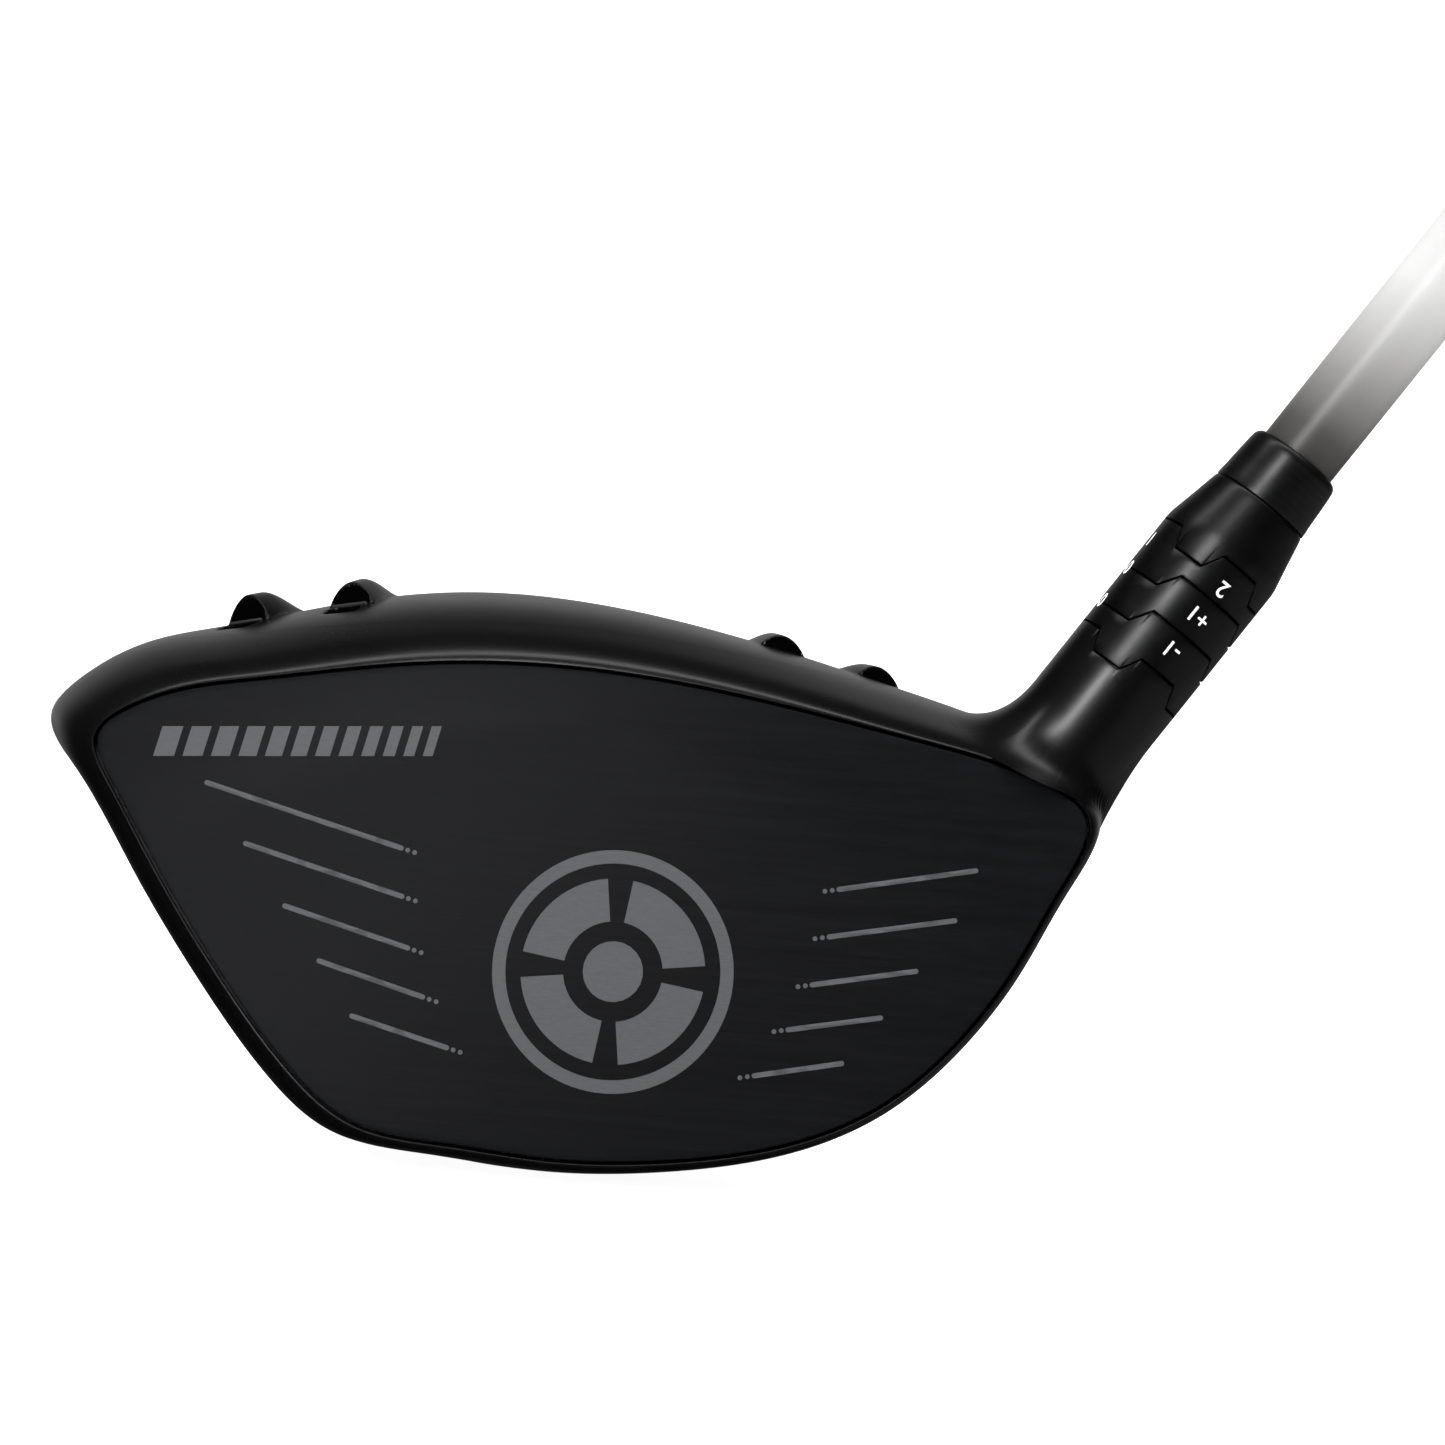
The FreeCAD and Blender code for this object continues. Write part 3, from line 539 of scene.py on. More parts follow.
def grip_pattern(name, band_pitch):
    """Grip rubber with rows of moulded dimples and a narrow band at every pitch."""
    finish = Finish(name, Specular_IOR_Level=0.3)
    dots = finish.node("ShaderNodeTexVoronoi", Scale=420.0, Randomness=0.0)
    finish.link(finish.stretched((1.0, 1.0, 1.0), (0.0, LIE, 0.0)), dots.inputs["Vector"])
    hollow = finish.remap(dots.outputs["Distance"], 0.0, 1.0, 0.22, 0.40)
    band = finish.math("FRACT", finish.math("DIVIDE", finish.along_axis(), band_pitch * MM))
    ridge = finish.remap(finish.math("ABSOLUTE", finish.math("SUBTRACT", band, 0.5)),
                         0.0, 1.0, 0.020, 0.032)
    grain = finish.noise(1100, 4.0, 0.6)
    height = finish.mixed(finish.math("MULTIPLY", hollow, ridge), 1.0, grain, 0.10)
    # the colour follows the relief, darker in the dimples and band grooves: painted shade
    return finish.coat(height, [(0.1, (0.0035, 0.0035, 0.0037)), (0.9, (0.013, 0.013, 0.0135))],
                       grain, (0.58, 0.74), height, 0.25)


def steel(name, middle, across):
    """Turned stainless steel: fine rings in the plane across an axis, a little staining."""
    finish = Finish(name, Metallic=1.0)
    offset = finish.vector("SUBTRACT", finish.place, np.array(middle) * MM)
    length = finish.vector("LENGTH", finish.vector("MULTIPLY", offset, across), (0, 0, 0), "Value")
    rings = finish.math("SINE", finish.math("MULTIPLY", length, 2 * math.pi / (0.16 * MM)))
    stain = finish.noise(160, 5.0)
    return finish.coat(finish.mixed(rings, 0.12, stain, 1.0), [
        (0.3, tuple(0.56 * 0.78 * value for value in (1.0, 0.99, 0.97))),
        (0.7, tuple(0.56 * value for value in (1.0, 0.995, 0.985)))],
        stain, (0.25, 0.37), rings, 0.004, 0.6)


def woven_composite(name, tow):
    """Clear-coated twill of dark carbon tows, each this wide in millimetres."""
    finish = Finish(name, Coat_Weight=0.8, Coat_Roughness=0.05, Specular_IOR_Level=0.5)
    twist = (0.0, 0.0, math.radians(45))
    split = finish.node("ShaderNodeSeparateXYZ")
    finish.link(finish.stretched((1.0, 1.0, 1.0), twist), split.inputs[0])
    across, along = (finish.math("DIVIDE", split.outputs[axis], tow * MM) for axis in "XY")
    step = finish.math("ADD", finish.math("FLOOR", across), finish.math("FLOOR", along))
    over = finish.math("LESS_THAN", finish.math("FLOORED_MODULO", step, 4.0), 1.5)
    warp, weft = (finish.math("ABSOLUTE", finish.math("SUBTRACT", finish.math("FRACT", run), 0.5))
                  for run in (across, along))
    crest = finish.mixed(warp, over, weft, finish.math("SUBTRACT", 1.0, over))
    fibres = finish.noise(1.0, 3.0, 0.6, finish.stretched((4200, 300, 300), twist))
    return finish.coat(finish.mixed(over, 0.35, fibres, 0.5), [
        (0.15, (0.006, 0.006, 0.0065)), (0.85, (0.040, 0.041, 0.044))],
        fibres, (0.26, 0.42), finish.math("SUBTRACT", 0.5, crest), 0.05)


BLACK = (0.0006, 0.0006, 0.0007)
TAIL_END = FACE_CENTRE[1] + HEAD_DEPTH
look = {name: build(name, *values) for name, build, *values in (
    ("head_gloss_black", gloss_paint, 0.0012, 0.29),
    ("crown_gloss_black", gloss_paint, 0.0012, 0.29),
    ("face_dark_brushed", brushed_face),
    # matt black with no gloss for the turbulators' hollows: painted shade
    ("hollow_matt_black", matt_paint, 0.0008, 0.0),
    # lighter satin along the toe turbulators' ledges: a painted highlight
    ("ledge_satin", matt_paint, 0.014, 0.30),
    ("sole_composite", woven_composite, 1.9),
    ("mark_etched", grained, 0.10, (1.0, 4.0, 0.7), (900, 1400, 5200),
     [(0.25, (0.050, 0.051, 0.054)), (0.75, (0.063, 0.065, 0.068))], (0.42, 0.58), 0.006, 0.5),
    ("legend_white", grained, 0.4, (1900, 3.0), None,
     [(0.2, (0.70, 0.70, 0.69)), (0.8, (0.86, 0.86, 0.85))], (0.42, 0.55), 0.004),
    ("tape_cream", grained, 0.2, (1.0, 2.0, 0.5), (900, 900, 3000),
     [(0.3, (0.50, 0.43, 0.30)), (0.7, (0.66, 0.60, 0.46))], (0.7, 0.9), 0.04),
    ("weight_steel_rear", steel, (REAR_PORT[0], TAIL_END, REAR_PORT[1]), (1, 0, 1)),
    ("weight_steel_front", steel, (*FRONT_PORT, 1.5), (1, 1, 0)),
    ("screw_steel", turned, (0.30, 0.30, 0.30), (0.52, 0.52, 0.51), 1.0, 0.33, 0.5, 0.012),
    ("ring_anodised", turned, BLACK, (0.0017, 0.0017, 0.0018), 0.0, 0.33, 0.22, 0.0025),
    ("sleeve_anodised", turned, BLACK, (0.0016, 0.0016, 0.0017), 0.0, 0.33, 0.26, 0.0025),
    ("ferrule_black", turned, (0.0011, 0.0011, 0.0012), (0.0030, 0.0030, 0.0030),
     0.0, 0.32, 0.9, 0.001),
    ("shaft_grey", shaft_paint, 0.106, 0.206),
    ("seal_rubber", rubber, 0.012, 0.62, 1500),
    ("nylon_black", rubber, 0.020, 0.5, 900),
    ("grip_rubber", grip_pattern, 25.4),
)}


def place(piece, body, slot, *nodes):
    """Ride a piece on a body and hide the CAD nodes that it stands for. The slot is not used."""
    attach(piece, body)
    if nodes:
        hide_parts(*nodes)
    return piece


# ---- head body

GROOVE_LOOP = closed_curve(FACE_OUTLINE, AROUND, FACE_STOPS)
GROOVE_OUT = loop_normals(GROOVE_LOOP)


def onto_face(flat, behind):
    """Points given as (x, z), brought onto the face sphere or a distance behind it."""
    return np.stack([flat[:, 0], face_y(flat[:, 0], flat[:, 1]) + behind, flat[:, 1]], axis=1)


def outline_depth(points, outline):
    """How far plan points are inside a closed plan outline. It is negative outside."""
    loop = closed_curve(outline, np.arange(240) / 240)
    nearest = np.full(len(points), 1e9)
    inside = np.zeros(len(points), bool)
    for a, b in zip(loop, np.roll(loop, -1, axis=0)):
        run = b - a
        share = np.clip(((points - a) @ run) / (run @ run), 0, 1)
        nearest = np.minimum(nearest, np.linalg.norm(points - a - share[:, None] * run, axis=1))
        crosses = (a[1] > points[:, 1]) != (b[1] > points[:, 1])
        rise = b[1] - a[1] if b[1] != a[1] else 1e-9
        inside ^= crosses & (points[:, 0] < a[0] + (points[:, 1] - a[1]) * run[0] / rise)
    return np.where(inside, nearest, -nearest)


def lathe(profile, foot, axis, side, columns):
    """Closed solid of revolution from (radius, height) pairs, ends on the axis."""
    across = np.cross(axis, side)
    turn = np.arange(columns) / columns * 2 * math.pi
    ring = np.cos(turn)[:, None] * side + np.sin(turn)[:, None] * across
    rows = [foot + height * axis + radius * ring for radius, height in profile]
    points = np.concatenate(rows + [[foot + profile[0][1] * axis, foot + profile[-1][1] * axis]])
    faces = grid_faces(len(rows), columns)
    low = len(points) - 2
    last = (len(rows) - 1) * columns
    for column in range(columns):
        after = (column + 1) % columns
        faces.append((low, after, column))
        faces.append((low + 1, last + column, last + after))
    return points, faces


def carve(piece, tools):
    """Take tools away from a closed piece for good."""
    for tool in tools:
        face_outwards(tool)
        modifier = piece.modifiers.new("carve", "BOOLEAN")
        modifier.operation = "DIFFERENCE"
        modifier.solver = "EXACT"
        modifier.object = tool
    result = bpy.data.meshes.new_from_object(
        piece.evaluated_get(bpy.context.evaluated_depsgraph_get()))
    old = piece.data
    piece.modifiers.clear()
    piece.data = result
    bpy.data.meshes.remove(old)
    for tool in tools:
        bpy.data.objects.remove(tool)


def head_shell():
    """Painted body: groove, rounded rim, skin and tail with its weight port."""
    rows = [onto_face(GROOVE_LOOP + outside * GROOVE_OUT, behind) for outside, behind in (
        (-2.6, GROOVE_DEPTH), (PLATE_GAP, GROOVE_DEPTH), (PLATE_GAP, 0.9), (PLATE_GAP, 0.16),
        (PLATE_GAP + 0.03, 0.06), (PLATE_GAP + 0.10, 0.0))]
    edge, landing = skin_rows([0.0, 1.5])
    rows += smooth_rows(rows[-1], edge, landing, 9)[1:]
    rows += list(skin_rows(np.concatenate([
        np.arange(1.9, 14.0, 0.45), np.linspace(14.0, TAIL - 1.2, 130)])))
    middle = np.array([REAR_PORT[0], 0.0, REAR_PORT[1]])
    rim = skin_rows([TAIL])[0]
    ray = rim - middle
    ray[:, 1] = 0.0
    circle = ray / np.linalg.norm(ray, axis=1, keepdims=True)
    inner = rim - circle * 1.3
    rows += smooth_rows(rows[-1], rim, inner, 8)[1:]
    plane = middle + BACK * rim[0, 1]
    for share in (0.5, 1.0):
        rows.append(inner + share * (plane + circle * (PORT_RADIUS + 0.25) - inner))
    for radius, depth in ((PORT_RADIUS + 0.07, -0.07), (PORT_RADIUS, -0.25),
                          (PORT_RADIUS, -PORT_DEPTH + 0.3), (PORT_RADIUS - 0.3, -PORT_DEPTH)):
        rows.append(plane + circle * radius + BACK * depth)
    points = np.concatenate(rows)
    # the sole rests on a flat patch, and the crown panel has room above its ledge
    behind_rim = points[:, 1] > FACE_CENTRE[1] + 1.5
    points[behind_rim, 2] = np.maximum(points[behind_rim, 2], 0.0)
    depth = outline_depth(points[:, :2], CROWN_OUTLINE)
    top = (points[:, 2] > 38) & (depth > 0) & (points[:, 1] > -14)
    points[top, 2] -= 1.5 * ease((depth[top] - 1.0) / 1.5)
    faces = grid_faces(len(rows), COLUMNS)
    faces.append(tuple(range(COLUMNS))[::-1])
    faces.append(tuple(range(len(points) - COLUMNS, len(points))))
    piece = mesh_piece("head_shell", points, faces, look["head_gloss_black"])
    face_outwards(piece)
    front = lathe([(8.2, -2.0), (7.85, -0.05), (PORT_RADIUS, 0.3), (PORT_RADIUS, 6.6)],
                  np.array([*FRONT_PORT, 0.0]), np.array([0.0, 0.0, 1.0]),
                  np.array([1.0, 0.0, 0.0]), 96)
    well = lathe([(6.4, -8.0), (6.4, 8.2), (6.1, 8.5), (4.8, 8.5), (4.8, 16.0), (4.5, 16.0),
                  (4.5, SOCKET_FLOOR), (6.3, SOCKET_FLOOR), (6.3, 90.0)],
                 HOSEL_FOOT, AXIS, SIDE, 96)
    carve(piece, [mesh_piece(f"tool_{number}", *tool, look["head_gloss_black"])
                  for number, tool in enumerate((front, well))])
    keep_sharp(piece, 40)
    return piece


shell = head_shell()


# ---- hosel barrel and neck

NECK_COLUMNS = 288
TURN = np.arange(NECK_COLUMNS) / NECK_COLUMNS * 2 * math.pi
EDGE = 0.20                     # rounding of the rings' edges
SEAM_GAP = 0.20
BORE = SLEEVE_RADIUS + 0.05
FILLET_TOP = 66.0               # highest point that the fillet's corner may reach
BARREL_START = 70.5             # highest point where the fillet may end
SKIN_LIFT = 0.02


def tooth_line(seam):
    """Height of a seam's line round the axis."""
    half, bars = (FOUR_TOOTH_HALF, 2) if seam in ("four", "one") else (TWO_TOOTH_HALF, 1)
    return seam_height(SEAMS[seam], half, bars, TURN)


def turned_rows(profile):
    """Rows round the axis from (radius, height) pairs. A height may follow the turn."""
    return [on_axis(height + 0 * TURN, radius, TURN) for radius, height in profile]


def top_edge(height):
    """Small rounded edge at the top of the barrel or of a ring, from outside to inside."""
    return [(HOSEL_RADIUS, height - EDGE), (HOSEL_RADIUS - EDGE * 0.3, height - EDGE * 0.3),
            (HOSEL_RADIUS - EDGE, height)]


def bottom_edge(height):
    """The same edge at the bottom of a ring, from inside to outside."""
    return [(HOSEL_RADIUS - EDGE, height), (HOSEL_RADIUS - EDGE * 0.3, height + EDGE * 0.3),
            (HOSEL_RADIUS, height + EDGE)]


def neck():
    """Hosel barrel with its teeth and bore, and the fillet that lands on the skin."""
    top = tooth_line("four")
    out = np.sin(TURN)[:, None] * SIDE - np.cos(TURN)[:, None] * BACK
    # the fillet reaches less far on the heel side and further on the toe side
    spread = 4.2 - 2.6 * np.clip(np.sin(TURN), 0, 1) + 1.6 * np.clip(-np.sin(TURN), 0, 1)
    found = []
    for ray, extra in zip(out, spread):
        origin = HOSEL_FOOT + 90 * AXIS + (HOSEL_RADIUS + extra) * ray
        hit, normal, _, _ = SKIN.ray_cast(Vector(origin), Vector(-AXIS))
        hit = np.array(hit)
        normal = np.array(normal)
        normal = normal if normal @ AXIS > 0 else -normal
        base = HOSEL_FOOT + HOSEL_RADIUS * ray
        height = (hit - base) @ normal / (AXIS @ normal)
        corner = base + min(height, FILLET_TOP) * AXIS
        start = min(height + np.linalg.norm(corner - hit) * 1.15, BARREL_START)
        found.append((hit + SKIN_LIFT * normal, corner + SKIN_LIFT * normal, start))
    lands, corners, starts = (np.array(column) for column in zip(*found))
    starts = np.convolve(np.concatenate([starts[-4:], starts, starts[:4]]), np.ones(9) / 9,
                         "valid")
    begin = on_axis(starts, HOSEL_RADIUS, TURN)
    end = on_axis(top - EDGE, HOSEL_RADIUS, TURN)
    rows = smooth_rows(lands, corners, begin, 22)
    rows += [begin + share * (end - begin) for share in (0.3, 0.6, 0.85)]
    rows += turned_rows(top_edge(top) + [
        (BORE + 0.1, top), (BORE, top - 0.1), (BORE, 60.0), (BORE, SOCKET_FLOOR),
        (2.9, SOCKET_FLOOR)])
    return rows_piece("neck", rows, look["head_gloss_black"])


neck_piece = neck()
face_outwards(neck_piece)
keep_sharp(neck_piece, 40)
fuse([shell, neck_piece], "head_shell")
place(shell, "head", "head_gloss_black", "head_body")


# ---- rings, sleeve and ferrule


def sleeved(name, profile, body, slot, node):
    """Closed round part in its finish that stands for a CAD node."""
    rows = turned_rows(profile + profile[:1])
    piece = rows_piece(name, rows, look[slot])
    face_outwards(piece)
    keep_sharp(piece, 30)
    place(piece, body, slot, node)


for ring, low, high in (("lower", "four", "three"), ("middle", "three", "two"),
                        ("upper", "two", "one")):
    foot = tooth_line(low) + SEAM_GAP
    head = tooth_line(high)
    sleeved(f"index_ring_{ring}", [
        (BORE, foot), *bottom_edge(foot),
        *((HOSEL_RADIUS, foot + share * (head - foot)) for share in (0.25, 0.5, 0.75)),
        *top_edge(head), (BORE, head)], f"ring_{ring}", "ring_anodised", f"ring_{ring}")

foot = tooth_line("one") + SEAM_GAP
sleeved("sleeve_collar", [
    (2.55, 42.0), (SLEEVE_RADIUS - 0.6, 42.0), (SLEEVE_RADIUS, 42.6), (SLEEVE_RADIUS, 70.0),
    (SLEEVE_RADIUS, foot - 0.15), (SLEEVE_RADIUS + 0.1, foot), *bottom_edge(foot),
    (HOSEL_RADIUS, np.maximum(foot + 0.3, COLLAR_START - 0.4)),
    *((HOSEL_RADIUS + (COLLAR_RADIUS - HOSEL_RADIUS) * share - 0.02 * (0.2 < share < 0.8),
       COLLAR_START + (COLLAR_TOP - COLLAR_START) * share)
      for share in (0.06, 0.15, 0.5, 0.85, 0.94)),
    (COLLAR_RADIUS, COLLAR_TOP - 0.12), (COLLAR_RADIUS - 0.12, COLLAR_TOP), (4.7, COLLAR_TOP),
    (4.7, 53.0), (2.55, 53.0)], "shaft_assembly", "sleeve_anodised", "shaft_sleeve")

foot = COLLAR_TOP + 0.1
sleeved("ferrule_turned", [
    (4.85, foot), *((COLLAR_RADIUS - cut, height) for cut, height in (
        (0.1, foot), (0.0, foot + 0.1), (0.02, foot + 0.8), (0.10, COLLAR_TOP + 1.5),
        (0.22, COLLAR_TOP + 3.6), (0.38, FERRULE_TOP - 1.3), (0.46, FERRULE_TOP - 0.7),
        (0.60, FERRULE_TOP - 0.32), (0.86, FERRULE_TOP - 0.06), (0.98, FERRULE_TOP))),
    (4.85, FERRULE_TOP)], "shaft_assembly", "ferrule_black", "ferrule")

slope = (SHAFT_BUTT_RADIUS - SHAFT_NECK_RADIUS) / (SHAFT_BUTT - FERRULE_TOP)
sleeved("shaft_tube", [
    (2.8, 54.0), (4.3, 54.0), (4.65, 54.4), (4.65, COLLAR_TOP - 0.5),
    *((SHAFT_NECK_RADIUS + slope * (height - FERRULE_TOP), height)
      for height in np.linspace(FERRULE_TOP, SHAFT_BUTT - 0.3, 40)),
    (SHAFT_BUTT_RADIUS - 0.3, SHAFT_BUTT), (6.67, SHAFT_BUTT)],
    "shaft_assembly", "shaft_grey", "shaft")


# ---- legends on the rings


def glyphs(text, height):
    """Triangles of a short text, centred, as (right, up) points and faces."""
    curve = bpy.data.curves.new("legend", "FONT")
    curve.body = text
    curve.align_x = "CENTER"
    curve.align_y = "CENTER"
    curve.size = height * 1.55
    curve.offset = 0.018
    curve.resolution_u = 6
    holder = bpy.data.objects.new("legend", curve)
    bpy.context.scene.collection.objects.link(holder)
    bpy.context.view_layer.update()
    mesh = bpy.data.meshes.new_from_object(
        holder.evaluated_get(bpy.context.evaluated_depsgraph_get()))
    bpy.data.objects.remove(holder)
    bpy.data.curves.remove(curve)
    work = bmesh.new()
    work.from_mesh(mesh)
    for cutting in np.arange(-4.0, 4.01, 0.25):
        bmesh.ops.bisect_plane(work, geom=work.verts[:] + work.edges[:] + work.faces[:],
                               plane_co=(cutting, 0, 0), plane_no=(1, 0, 0))
    points = np.array([vertex.co for vertex in work.verts])
    faces = [tuple(vertex.index for vertex in polygon.verts) for polygon in work.faces]
    work.free()
    bpy.data.meshes.remove(mesh)
    middle = (points.min(axis=0) + points.max(axis=0)) / 2
    return points - middle, faces


def gathered(shapes):
    """Several (points, faces) pairs put into one."""
    faces = []
    start = 0
    for points, polygons in shapes:
        faces += [tuple(start + index for index in polygon) for polygon in polygons]
        start += len(points)
    return np.concatenate([points for points, _ in shapes]), faces


def legends(ring, texts, height):
    """Numbers printed round a ring. Their tops point down the hosel."""
    shapes = []
    for number, text in enumerate(texts):
        if text:
            flat, polygons = glyphs(text, 1.75)
            turn = math.radians(17.0 + 88.5 * number) - flat[:, 0] / HOSEL_RADIUS
            shapes.append((on_axis(height - flat[:, 1], HOSEL_RADIUS + 0.012, turn), polygons))
    piece = mesh_piece(f"numbers_{ring}", *gathered(shapes), look["legend_white"])
    face_outwards(piece)
    place(piece, f"ring_{ring}", "ring_anodised")


legends("upper", ("2", "", "0", "1"), 89.6)
legends("middle", ("+1", "", "-1", "0"), 85.4)
legends("lower", ("-1", "", "+1", "0"), 80.5)


# ---- panels laid out in plan


def inset_loop(outline, distance, count):
    """Loop inside a closed plane outline by a distance."""
    loop = closed_curve(outline, np.arange(count) / count)
    return loop - distance * loop_normals(loop)


def net(loops, inner=()):
    """Triangles between nested loops and loose inner points: plane points and faces."""
    points = [Vector(point) for block in (*loops, inner) for point in block]
    count = len(loops[0])
    edges = [(i, (i + 1) % count) for i in range(count)]
    result = delaunay_2d_cdt(points, edges, [], 1, 1e-6, False)
    return np.array([tuple(point) for point in result[0]]), [tuple(f) for f in result[2]]


def lattice(low, high, pitch):
    """Staggered points over a rectangle."""
    points = []
    for row, b in enumerate(np.arange(low[1], high[1] + pitch, pitch * 0.866)):
        for a in np.arange(low[0], high[0] + pitch, pitch):
            points.append((a + pitch / 2 * (row % 2), b))
    return np.array(points)


def smooth_over(value, width):
    """Positive part of a value, with a rounded start of this width."""
    return 0.5 * (value + np.sqrt(value * value + width * width))


def bump_frame(points, bump):
    """Distance along a turbulator from its front, and across it."""
    x, y, turn = bump
    turn = math.radians(turn)
    along = (points[:, 0] - x) * math.sin(turn) + (points[:, 1] - y) * math.cos(turn)
    across = (points[:, 0] - x) * math.cos(turn) - (points[:, 1] - y) * math.sin(turn)
    return along, across


def bump_front(along, across):
    """Distance behind the foot of a turbulator's front wall, which is hollow in plan."""
    return along - 0.10 - 0.70 * np.clip(1 - (across / 2.4) ** 2, 0, 1)


def dimple(along, across):
    """Depth of the dimple in front of a toe-side turbulator."""
    depth = 1.45 * np.clip(1 - (across / 2.35) ** 2, 0, 1) ** 0.9
    return depth * ease((-0.62 - along) / 0.30) * (1 - ease((-0.95 - along) / 3.8))


def bump_painted_light(points, number):
    """0 where a turbulator is lacquered, 1 in its hollows, painted matt black as painted shade, 2
    along its thin ledge, painted lighter as a painted highlight.
    """
    along, across = bump_frame(points, BUMPS[number])
    wall = (bump_front(along, across) + 0.30) / 0.80
    hollow = (wall > 0.10) & (wall < 0.80) & (np.abs(across) < 2.25)
    kind = np.where(hollow, 1, 0)
    if number < TOE_BUMPS:
        # the dimple gets painted shade too, and the ledge behind it a painted highlight
        kind = np.where(dimple(along, across) > 0.10, 1, kind)
        kind = np.where((along > -0.62) & (along < -0.22) & (np.abs(across) < 2.2), 2, kind)
    return kind


def turbulator(points, number):
    """Height of one turbulator over the crown: steep hollow front and a tapering tail.

    The toe pair also has a dimple in front of a thin ledge.
    """
    along, across = bump_frame(points, BUMPS[number])
    width = 2.85 * (1 - 0.34 * ease(along / 14.0))
    front = bump_front(along, across)
    height = BUMP_HEIGHTS[number] * ease((front + 0.30) / 0.80)
    height = height * (1 - ease((along - 4.0) / 10.5))
    body = height * np.sign(1 - (across / width) ** 2) * np.abs(1 - (across / width) ** 2) ** 0.85
    rise = np.maximum(smooth_over(body - 0.16, 0.24) - 0.064, 0.0)
    window = (1 - ease((np.abs(across) - 3.5) / 1.0)) * (1 - ease((along - 13.0) / 2.0))
    rise = rise * window * ease((along + 1.2) / 0.9)
    if number >= TOE_BUMPS:
        return rise
    ledge = 0.34 * np.exp(-((along + 0.38) / 0.20) ** 2)
    ledge = ledge * (1 - ease((np.abs(across) - 2.0) / 0.4))
    return rise + ledge - dimple(along, across)


def filling(outline, pitch, margin):
    """Staggered points inside a closed outline, at least a margin away from it."""
    points = lattice(outline.min(axis=0) - 1, outline.max(axis=0) + 1, pitch)
    return points[outline_depth(points, outline) > margin]


def near_bump(points, bump, start, end, half):
    """Which plan points are in a box along a turbulator."""
    along, across = bump_frame(points, bump)
    return (along > start) & (along < end) & (np.abs(across) < half)


def rounded(depth, radius):
    """Shape of a rounded edge: 1 at the outline, 0 from a radius inside it."""
    return 1 - np.sqrt(np.clip(1 - (1 - depth / radius).clip(0, 1) ** 2, 0, 1))


def skin_panel(name, plan, faces, lift, side, slot, node):
    """Panel over the crown (side 1) or under the sole (side -1), turned outwards."""
    piece = mesh_piece(name, on_skin(plan, lift, side), faces, look[slot])
    face_outwards(piece)
    piece.data.shade_smooth()
    if sum(polygon.normal.z for polygon in piece.data.polygons) * side < 0:
        piece.data.flip_normals()
    return place(piece, "head", slot, node)


def bump_lattice():
    """Points over one turbulator as (along, across), densest at its front."""
    points = lattice((-5.0, -4.7), (15.2, 4.7), 0.22)
    points = points[(points[:, 0] <= 15.2) & (np.abs(points[:, 1]) <= 4.7)]
    front = (points[:, 0] > -1.5) & (points[:, 0] < 2.4) & (np.abs(points[:, 1]) < 3.2)
    return np.concatenate([points[~front], lattice((-1.45, -3.1), (2.3, 3.1), 0.11)])


def crown_panel():
    """Lacquered composite crown with its four turbulators."""
    loops = [inset_loop(CROWN_OUTLINE, distance, 420) for distance in (0.0, 0.35, 0.8)]
    coarse = filling(CROWN_OUTLINE, 1.15, 1.3)
    along, across = bump_lattice().T
    fine = []
    for number, bump in enumerate(BUMPS):
        coarse = coarse[~near_bump(coarse, bump, -5.3, 15.6, 5.0)]
        turn = math.radians(bump[2])
        placed = np.stack([bump[0] + along * math.sin(turn) + across * math.cos(turn),
                           bump[1] + along * math.cos(turn) - across * math.sin(turn)], axis=1)
        for other in BUMPS[:number]:
            placed = placed[~near_bump(placed, other, -5.0, 15.2, 4.7)]
        fine.append(placed)
    plan, faces = net(loops, np.concatenate([coarse] + fine))
    lift = 0.005 + 0.011 * ease(outline_depth(plan, CROWN_OUTLINE) / 0.7)
    middles = np.array([plan[list(face)].mean(axis=0) for face in faces])
    painted_light_kinds = np.zeros(len(faces), int)
    for number, bump in enumerate(BUMPS):
        near = near_bump(plan, bump, -5.3, 15.6, 5.2)
        lift[near] += turbulator(plan[near], number)
        painted_light_kinds = np.maximum(painted_light_kinds, bump_painted_light(middles, number))
    piece = skin_panel("crown_panel", plan, faces, lift, 1, "crown_gloss_black", "crown_shell")
    # the hollows take matt black as painted shade, the toe ledges lighter satin as a painted
    # highlight
    piece.data.materials.append(look["hollow_matt_black"])
    piece.data.materials.append(look["ledge_satin"])
    piece.data.polygons.foreach_set("material_index", painted_light_kinds)


def sole_panel():
    """Woven composite panel in the sole, a little proud with a rounded edge."""
    loops = [inset_loop(SOLE_OUTLINE, distance, 260) for distance in (0.0, 0.04, 0.12, 0.25, 0.7)]
    plan, faces = net(loops, filling(SOLE_OUTLINE, 0.9, 1.2))
    lift = 0.09 - 0.19 * rounded(outline_depth(plan, SOLE_OUTLINE), 0.25)
    skin_panel("sole_panel", plan, faces, lift, -1, "sole_composite", "sole_plate")


crown_panel()
sole_panel()


# ---- face plate and its marks


